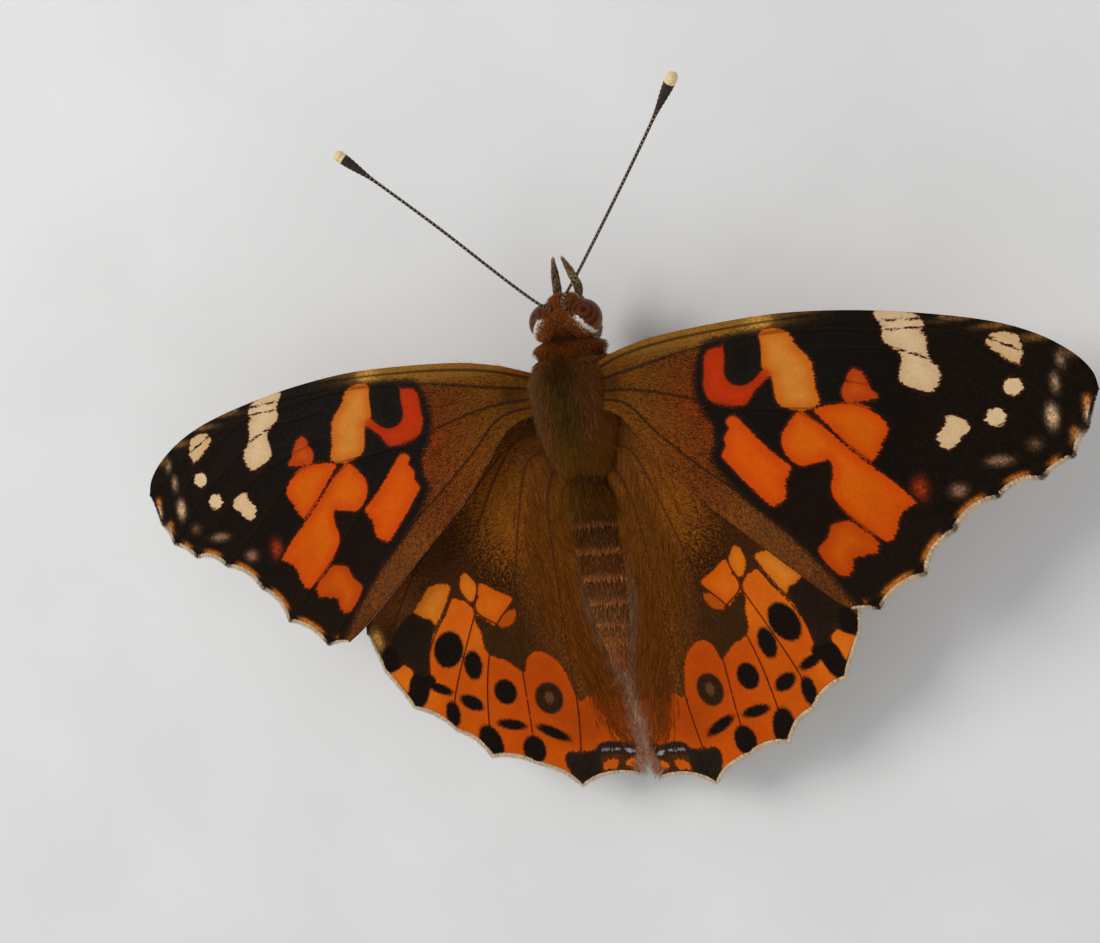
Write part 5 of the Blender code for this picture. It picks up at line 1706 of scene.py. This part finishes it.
@dataclass
class Antenna:
    """A feeler: a fine ringed shaft that swells to a dark club with a pale tip."""

    side: Side
    route: Line = (
        (0.50, 3.95, -0.20), (0.62, 4.20, 0.45), (1.00, 4.62, 1.02), (2.60, 6.25, 1.68),
        (5.97, 9.92, 3.15), (9.00, 13.15, 4.78),
    )
    ends: ClassVar[dict[Side, Triple]] = {
        Side.RIGHT: (11.72, 16.25, 6.20), Side.LEFT: (11.20, 15.38, 5.90),
    }
    shaft: float = 0.10
    club: float = 0.355
    club_start: float = 0.80
    ring_length: float = 0.30
    steps: int = 480
    around: int = 12

    def build(self, finish: Material) -> None:
        """The radius rises softly to the club, beads at every ring, and ends in a dome."""
        route = smooth_line((*self.route, self.ends[self.side]))
        line = evenly(route, self.steps) * (self.side.value, 1, 1)
        u = np.linspace(0, 1, self.steps)
        length = np.linalg.norm(np.diff(line, axis=0), axis=1).sum()
        swell = smoothstep(self.club_start, 0.97, u) ** 1.2
        phase = (u * length / self.ring_length) % 1.0
        bead = 1 + 0.10 * np.cos(2 * math.pi * phase) * (1 - 0.7 * swell)
        radius = (self.shaft + (self.club - self.shaft) * swell) * bead
        radius = radius + 0.12 * np.exp(-((u * length / 0.25) ** 2))
        to_tip = np.clip((1 - u) * length / self.club, 0, 1)
        radius = radius * np.sqrt(np.clip(1 - (1 - to_tip) ** 2, 0.004, 1))
        form = skin_form(tube_rings(line, radius, (0.9, -0.5, 0.1), self.around))
        ring = 0.52 * np.exp(-(((phase - 0.15) / 0.2) ** 2)) * (1 - 0.6 * smoothstep(0.1, 0.5, swell))
        ring = np.maximum(ring, smoothstep(0.955, 0.966, u))
        form.values["ring"] = per_ring(ring, self.around)
        name = f"antenna_{self.side.label}"
        form.put(f"{name}_shaft", [finish], Slot.CHITIN, name)


def bristle_roots(rings: Array, line: Array, count: int, step: float, rng: Chance) -> Roots:
    """Roots spread over a tube, each lying along the tube towards its tip.

    Args:
        rings: the tube's rings.
        line: its axis.
        count: how many roots.
        step: the share of the length over which the lie is read, negative to read it behind.
        rng: the seeded source of chance.

    Returns:
        The roots, without colour.
    """
    roots = scatter(rings, count, rng)
    share = roots.unwrap[:, 1]
    core = evenly(line, np.clip(share, 0, 1))
    ahead = evenly(line, np.clip(share + step, 0, 1)) - core
    roots.normal = unit(roots.place - core)
    roots.lie = unit(math.copysign(1.0, step) * ahead + 1e-6)
    return roots


@dataclass
class Palp:
    """A pointed, scaly palp beside the tongue."""

    side: Side
    route: Line = ((0.70, 4.10, -1.80), (0.74, 5.20, -2.10), (0.55, 6.30, -1.62), (0.34, 7.15, -1.10))
    radii: tuple[float, ...] = (0.20, 0.27, 0.22, 0.05)
    steps: int = 70
    around: int = 18
    scales: int = 2600

    def build(self, finish: Material, rng: Chance) -> None:
        """A tapered core with tan and dark scales lying towards its tip."""
        line = evenly(smooth_line(self.route), self.steps) * (self.side.value, 1, 1)
        rings = tube_rings(line, taper(self.radii, self.steps), (1, 0, 0), self.around)
        form = skin_form(rings)
        form.values["pelt"] = with_alpha(np.broadcast_to(shade(70, 50, 34), (len(form.points), 3)))
        name = f"palp_{self.side.label}"
        form.put(f"{name}_core", [finish], Slot.PALP, name)
        roots = bristle_roots(rings, line, self.scales, -0.03, rng)
        tan = rng.random((self.scales, 1)) < 0.62
        roots.colour = np.where(tan, shade(160, 128, 92), shade(44, 30, 20))
        lock = Lock((0.18, 0.42), 0.06, 0.22, 0.1, 0.18, 0.08, 0.03)
        lock.grow(roots, rng).put(f"palp_scales_{self.side.label}", [finish], Slot.PALP)


@dataclass
class Proboscis:
    """The drinking tube, coiled under the head and grooved along its length."""

    centre: Triple = (0.0, 3.75, -4.05)
    outer: float = 0.95
    inner: float = 0.30
    turns: float = 1.35
    root: Triple = (0.0, 4.45, -2.05)
    steps: int = 260
    around: int = 16

    def build(self, finish: Material) -> None:
        """A spiral whose radius falls evenly with its angle, after a short drop from the head."""
        u = np.linspace(0, 1, 160)
        angle = math.radians(20) - 2 * math.pi * self.turns * u
        radius = self.outer + (self.inner - self.outer) * u
        spiral = np.stack([0 * u, radius * np.cos(angle), radius * np.sin(angle)], 1)
        coil = np.array(self.centre) + spiral
        start = smooth_line((self.root, (0.0, 4.85, -2.9), tuple(coil[0]), tuple(coil[12])))[:-9]
        line = evenly(np.concatenate([start, coil]), self.steps)
        share = np.linspace(0, 1, self.steps)
        thick = (0.20 - 0.10 * share) * np.sqrt(np.clip((1 - share) / 0.02, 0.05, 1))
        form = skin_form(tube_rings(line, thick, (1, 0, 0), self.around))
        form.values["ring"] = per_ring(0.35 + 0.35 * np.cos(share * 900), self.around)
        form.put("proboscis_coil", [finish], Slot.CHITIN, "proboscis")


@dataclass
class Leg:
    """A walking leg: thigh, shin with spurs, and a five-jointed foot flat on the floor.

    Attributes:
        hip, knee, ankle, toe: its joints; the last two are given in plan, since they stand low.
        foot: height of the toe's axis over the floor.
        clear: roots of hair lower than this over the floor are left out.
        ankle_station: which of the route's stations starts the foot.
    """

    side: Side
    kind: str
    hip: Triple
    knee: Triple
    ankle: Pair
    toe: Pair
    foot: float = 0.17
    around: int = 14
    hairs: int = 2600
    clear: float = 0.12
    ankle_station: ClassVar[int] = 10

    def route(self) -> tuple[Array, Array]:
        """The leg's axis and radii at its stations."""
        on_floor = FLOOR + self.foot
        hip, knee = np.array(self.hip), np.array(self.knee)
        ankle, toe = np.array((*self.ankle, on_floor + 0.04)), np.array((*self.toe, on_floor))
        thigh = ((0.0, 0.36), (0.12, 0.42), (0.45, 0.41), (0.85, 0.30), (0.95, 0.26))
        shin = ((0.03, 0.25), (0.12, 0.23), (0.5, 0.25), (0.9, 0.24), (0.97, 0.19))
        foot = [(k / 5 + x, r) for k in range(5) for x, r in ((0.03, 0.12), (0.15, 0.165))]
        runs = ((hip, knee, thigh), (knee, ankle, shin), (ankle, toe, foot))
        stations = [(start + (end - start) * x, r) for start, end, parts in runs for x, r in parts]
        stations.append((toe, 0.14))
        places = np.array([place for place, _ in stations]) * (self.side.value, 1, 1)
        return places, np.array([radius for _, radius in stations])

    def build(self, finish: Material, hair: Material, rng: Chance) -> None:
        """The leg as one tube with claws and spurs, and its short hair.

        Args:
            finish: the horn's material.
            hair: the hair's material.
            rng: the seeded source of chance.
        """
        places, radii = self.route()
        both = smooth_line(np.column_stack([places, radii]), steps=8)
        line, radius = both[:, :3], np.clip(both[:, 3], 0.08, 0.42)
        radius[[0, -1]] *= 0.4
        line[:, 2] = np.maximum(line[:, 2], FLOOR + radius)
        rings = tube_rings(line, radius, (0.05, 0.1, 1.0), self.around)
        rings[..., 2] = np.maximum(rings[..., 2], FLOOR)
        forms = [skin_form(rings)]
        toe, ankle = line[-1], places[self.ankle_station]
        knee = np.array(self.knee) * (self.side.value, 1, 1)
        ahead = unit(toe - ankle) * (1, 1, 0)
        across = np.cross(ahead, (0, 0, 1))
        down = unit(ankle - knee)
        u = np.linspace(0, 1, 14)[:, None]
        for hand in (-1, 1):
            claw = toe + u * ahead * 0.42 + hand * across * (0.06 + 0.16 * u) - 0.10 * u**2 * (0, 0, 1)
            spur = knee + (ankle - knee) * 0.90 + u * (down * 0.62 + hand * across * 0.28 - ahead * 0.2)
            for path, thick in ((claw, 0.075), (spur, 0.07)):
                horn = tube_rings(path, thick * (1.02 - u[:, 0]) + 0.006, (0.05, 0.1, 1.0), 8)
                horn[..., 2] = np.maximum(horn[..., 2], FLOOR + 0.005)
                forms.append(skin_form(horn))
        form = joined(forms)
        form.values["ring"] = np.full(len(form.points), 0.28)
        name = f"{self.kind}_{self.side.label}"
        form.put(f"{name}_horn", [finish], Slot.CHITIN, name)
        roots = scatter(rings, self.hairs, rng)
        share = roots.unwrap[:, 1]
        stations = np.linspace(0, 1, len(line))
        core, ahead_here = (
            np.stack([np.interp(share, stations, column) for column in source.T], 1)
            for source in (line, np.gradient(line, axis=0))
        )
        roots.normal = unit(roots.place - core)
        roots.lie = unit(ahead_here)
        thigh = smoothstep(0.40, 0.15, share)
        roots.size = 0.7 + 0.7 * thigh
        roots.colour = mixed(shade(112, 82, 52), shade(150, 116, 78), thigh[:, None])
        roots = roots.keep(roots.place[:, 2] > FLOOR + self.clear)
        bristles = Lock((0.18, 0.36), 0.06, 0.20, 0.10, 0.2, 0.1, 0.02).grow(roots, rng)
        bristles.points[:, 2] = np.maximum(bristles.points[:, 2], FLOOR)
        bristles.put(f"{name}_hair", [hair], Slot.CHITIN)


@dataclass
class Foreleg:
    """A reduced, brush-like foreleg held up under the head."""

    side: Side
    path: Line = ((0.85, 1.70, -2.60), (1.05, 2.30, -3.50), (0.95, 3.20, -3.90), (0.72, 4.05, -3.60))
    radii: tuple[float, ...] = (0.30, 0.34, 0.26, 0.16)
    steps: int = 60
    around: int = 16
    hairs: int = 2000

    def build(self, finish: Material, hair: Material, rng: Chance) -> None:
        """A tapered core with long hair that makes it a brush.

        Args:
            finish: the horn's material.
            hair: the hair's material.
            rng: the seeded source of chance.
        """
        line = evenly(smooth_line(self.path), self.steps) * (self.side.value, 1, 1)
        rings = tube_rings(line, taper(self.radii, self.steps) * 0.8, (1, 0.02, 0), self.around)
        form = skin_form(rings)
        form.values["ring"] = np.full(len(form.points), 0.3)
        name = f"foreleg_{self.side.label}"
        form.put(f"{name}_horn", [finish], Slot.CHITIN, name)
        roots = bristle_roots(rings, line, self.hairs, 0.03, rng)
        roots.colour = np.broadcast_to(shade(150, 124, 96), (self.hairs, 3))
        brush = Lock((0.3, 0.62), 0.05, 0.35, 0.15, 0.2, 0.15, 0.03).grow(roots, rng)
        brush.put(f"{name}_hair", [hair], Slot.CHITIN)


@dataclass
class WingHair:
    """Hair on the wings: golden over the forewing's root, silky down the hindwing's inner field.

    Attributes:
        fore, hind: the wings of one side.
        root_tries, inner_tries: places tried for either kind.
        inner_most: the most silky hairs.
        tint_fore, tint_hind: their colours, as zones for blend_zones.
    """

    fore: Forewing
    hind: Hindwing
    root_tries: int = 9000
    inner_tries: int = 18000
    inner_most: int = 12500
    tint_fore: ClassVar[tuple] = (
        (0.5, -4, 1.5, 1.5, 96, 64, 28), (4, -4, 2.5, 2.5, 132, 74, 12),
    )
    tint_hind: ClassVar[tuple] = (
        (1, -8, 2, 4, 122, 68, 8), (1, -17, 2, 5, 120, 62, 6), (2.8, -12, 0.8, 6, 132, 74, 8),
        (0.6, -22.6, 2.4, 1.6, 150, 66, 8),
    )

    def build_root(self, finish: Material, rng: Chance) -> None:
        """Grows the golden hair, each lying away from the forewing's root.

        Args:
            finish: the hair's material.
            rng: the seeded source of chance.
        """
        wing, tries = self.fore, self.root_tries
        spots = np.stack([rng.uniform(-0.8, 6.5, tries), rng.uniform(-9.0, -1.6, tries)], 1)
        weight = glow(spots, (1.2, -4.2), (2.6, 2.2)) + 0.25 * glow(spots, (3.5, -7.0), (2.5, 1.5))
        outline = [smooth_line(wing.leading), wing.rim(), smooth_line(wing.trailing)]
        inside = depth_inside(spots, np.concatenate(outline))
        spots = spots[(rng.random(tries) < weight) & (inside > 0.15)]
        ahead = unit(spots - np.array((-2.5, -3.6)))
        roots = wing.roots_at(spots, ahead, blend_zones(spots, self.tint_fore, shade(120, 68, 12)))
        lock = Lock((0.5, 1.15), 0.045, 0.14, 0.1, 0.22, 0.12, 0.03)
        lock.grow(roots, rng).put(f"root_hair_{wing.side.label}", [finish], Slot.FOREWING)

    def build_inner(self, finish: Material, rng: Chance) -> None:
        """Grows the silky hair, rearward beside the hindwing's inner edge and paler along it.

        Args:
            finish: the hair's material.
            rng: the seeded source of chance.
        """
        wing, tries = self.hind, self.inner_tries
        grid = wing.net()
        inner = grid[:, -1]
        back = -rng.uniform(2.4, 26.4, tries)
        edge = np.stack([np.interp(-back, -inner[:, 1], inner[:, 0]), back], 1)
        spots = edge + np.stack([rng.gamma(1.6, 0.95, tries), 0 * back], 1)
        x, y = spots.T
        strip = x - edge[:, 0]
        outline = np.concatenate([grid[:, 0], grid[-1], grid[::-1, -1]])
        reach = np.interp(y, (-24.5, -20.5, -17.5, -13.5, -5.0), (-0.9, 0.2, 1.2, 2.6, 3.2))
        fade = smoothstep(1.2, -1.0, x - reach) * smoothstep(-24.6, -23.0, y)
        fade = np.maximum(fade, smoothstep(0.9, 0.3, strip) * (y < -22.0))
        keep = (depth_inside(spots, outline) > 0.06) & (rng.random(tries) < fade)
        spots, strip = spots[keep][: self.inner_most], strip[keep][: self.inner_most]
        x, y = spots.T
        lean = 0.10 * np.sin(y * 0.8) - 0.10 - 0.3 * smoothstep(-22.0, -25.0, y)
        ahead = unit(np.stack([lean + 0.05 * (x - 1.5), 0 * y - 1], 1))
        olive = blend_zones(spots, self.tint_hind, shade(118, 60, 6))
        pale = mixed(shade(124, 92, 64), shade(168, 124, 96), smoothstep(-16.0, -22.0, y)[:, None])
        beside = smoothstep(1.3, 0.1, strip) * smoothstep(-9.0, -15.0, y)
        roots = wing.roots_at(spots, ahead, mixed(olive, pale, beside[:, None]))
        roots.size = np.clip(1.0 - 0.45 * smoothstep(-19.0, -24.0, y), 0.4, 1.0)
        lock = Lock((0.9, 1.9), 0.05, 0.07, 0.05, 0.10, 0.08, 0.03)
        lock.grow(roots, rng).put(f"inner_hair_{wing.side.label}", [finish], Slot.HINDWING)


@dataclass
class Studio:
    """The pale floor, the soft light and the camera at the photograph's angle.

    Attributes:
        eye: the camera's place in the body frame, in mm.
        right, up, back: its axes there.
        focal: the focal length for a sensor 36 mm wide.
        lamps: name, place and side in metres, and power in watts.
        floor_radius, floor_corners: the floor's disc, in metres.
    """

    eye: Triple = (43.98792, 0.78506, 102.53863)
    right: Triple = (0.908703, -0.125370, -0.398173)
    up: Triple = (0.089297, 0.990136, -0.107965)
    back: Triple = (0.407781, 0.062553, 0.910934)
    focal: float = 57.236
    lamps: ClassVar[tuple] = (
        ("key", (-0.16, 0.13, 0.26), 0.16, 0.62),
        ("fill", (0.24, -0.10, 0.20), 0.22, 0.16),
        ("rear", (0.02, -0.28, 0.14), 0.20, 0.12),
    )
    floor_radius: float = 2.0
    floor_corners: int = 96

    def build(self) -> None:
        """Sets up the camera, the floor, the lamps and the even light all round."""
        lens = bpy.data.cameras.new("photo_camera")
        lens.lens = self.focal
        lens.sensor_width = 36.0
        lens.clip_start = 0.0005
        camera = bpy.data.objects.new("photo_camera", lens)
        columns = (self.right, self.up, self.back, (np.array(self.eye) + BODY_AT) * MM)
        camera.matrix_world = Matrix([*np.stack(columns, 1).tolist(), (0, 0, 0, 1)])
        bpy.context.scene.collection.objects.link(camera)
        bpy.context.scene.camera = camera
        bpy.context.scene.view_settings.view_transform = "Standard"
        self.floor()
        for name, place, across, power in self.lamps:
            self.lamp(name, place, across, power)
        world = bpy.data.worlds.new("studio")
        world.use_nodes = True
        colour, strength = world.node_tree.nodes["Background"].inputs[:2]
        colour.default_value = (0.92, 0.95, 1.0, 1.0)
        strength.default_value = 0.45
        bpy.context.scene.world = world

    def floor(self) -> None:
        """A wide pale disc with a faint mottle."""
        count = self.floor_corners
        angle = np.arange(count) / count * 2 * math.pi
        points = self.floor_radius * np.stack([np.cos(angle), np.sin(angle), 0 * angle], 1)
        mesh = bpy.data.meshes.new("floor")
        mesh.from_pydata(points.tolist(), [], [list(range(count))])
        nodes = Nodes("pale_floor")
        mottle = nodes.noise(nodes.body_place(60.0), 4.0, flat=False)
        pale = nodes.mix(nodes.span(mottle, 0.3, 0.7), (0.70, 0.69, 0.67), (0.74, 0.73, 0.71))
        nodes.done(pale, 0.8)
        mesh.materials.append(nodes.material)
        floor = bpy.data.objects.new("floor", mesh)
        bpy.context.scene.collection.objects.link(floor)

    def lamp(self, name: str, place: Triple, across: float, power: float) -> None:
        """A square soft lamp that faces the butterfly.

        Args:
            name: the lamp's name.
            place: where it stands, in metres.
            across: its side, in metres.
            power: its power, in watts.
        """
        light = bpy.data.lights.new(name, "AREA")
        light.size = across
        light.energy = power
        lamp = bpy.data.objects.new(name, light)
        back = unit(np.array(place) - (0.0, 0.0, 0.008))
        side = unit(np.cross((0.0, 0.0, 1.0), back))
        turn = Matrix(np.stack([side, np.cross(back, side), back], 1).tolist()).to_4x4()
        lamp.matrix_world = Matrix.Translation(place) @ turn
        bpy.context.scene.collection.objects.link(lamp)


WALKING_LEGS = (
    ("midleg", (1.30, -1.70, -3.50), (5.00, -0.80, -3.70), (7.40, -0.50), (10.6, 0.30)),
    ("hindleg", (1.20, -4.00, -3.50), (4.90, -7.20, -3.90), (6.50, -11.0), (7.70, -14.8)),
)


def main() -> None:
    """Builds the studio and the butterfly, piece by piece."""
    logging.basicConfig(level=logging.INFO, format="%(message)s", stream=sys.stdout)
    rng = np.random.default_rng(SEED)
    Studio().build()

    fur = PeltFinish("fur", 0.6, 0.05).make()
    hair = PeltFinish("silky_hair", 0.5, 0.07).make()
    fringe = PeltFinish("fringe_hair", 0.7, 0.1).make()
    white = PeltFinish("white_scales", 0.35, 0.5).make()
    horn = ShellFinish("horn", shade(52, 36, 24), shade(150, 120, 86)).make()
    feeler = ShellFinish("feeler_horn", shade(44, 32, 24), shade(226, 198, 150), 0.5).make()
    tongue = ShellFinish("tongue_horn", shade(46, 28, 14), shade(110, 74, 40), 0.3).make()
    glass = EyeFinish("eye_facets", shade(92, 42, 7), shade(44, 17, 3), shade(124, 76, 32)).make()
    fore_faces = [
        ScaleFinish(
            "forewing_scales_above", shade(110, 34, 4), shade(26, 15, 7), shade(92, 28, 4),
            vein_force=0.6,
        ).make(),
        ScaleFinish(
            "forewing_scales_below", shade(150, 70, 40), shade(150, 120, 84), shade(120, 60, 40),
            clump=0.5, lively=0.2,
        ).make(),
    ]
    hind_faces = [
        ScaleFinish(
            "hindwing_scales_above", shade(74, 16, 4), shade(56, 30, 10), shade(90, 32, 4),
            vein_force=0.95,
        ).make(),
        ScaleFinish(
            "hindwing_scales_below", shade(214, 200, 172), shade(226, 212, 186), shade(60, 48, 34),
            clump=0.85, lively=0.12,
        ).make(),
    ]

    body = Body()
    grid = body.build(fur)
    body.dress(grid, fur, rng)
    for side in Side:
        fore, hind = Forewing(side), Hindwing(side)
        fore.build(fore_faces)
        fore.build_fringe(fringe, rng)
        hind.build(hind_faces)
        hind.build_fringe(fringe, rng)
        silk = WingHair(fore, hind)
        silk.build_root(hair, rng)
        silk.build_inner(hair, rng)
        eye = Eye(side)
        eye.build(glass)
        eye.dress(white, fur, rng)
        Antenna(side).build(feeler)
        Palp(side).build(hair, rng)
        Foreleg(side).build(horn, hair, rng)
        for kind, hip, knee, ankle, toe in WALKING_LEGS:
            Leg(side, kind, hip, knee, ankle, toe).build(horn, hair, rng)
    Proboscis().build(tongue)


if __name__ == "__main__":
    main()
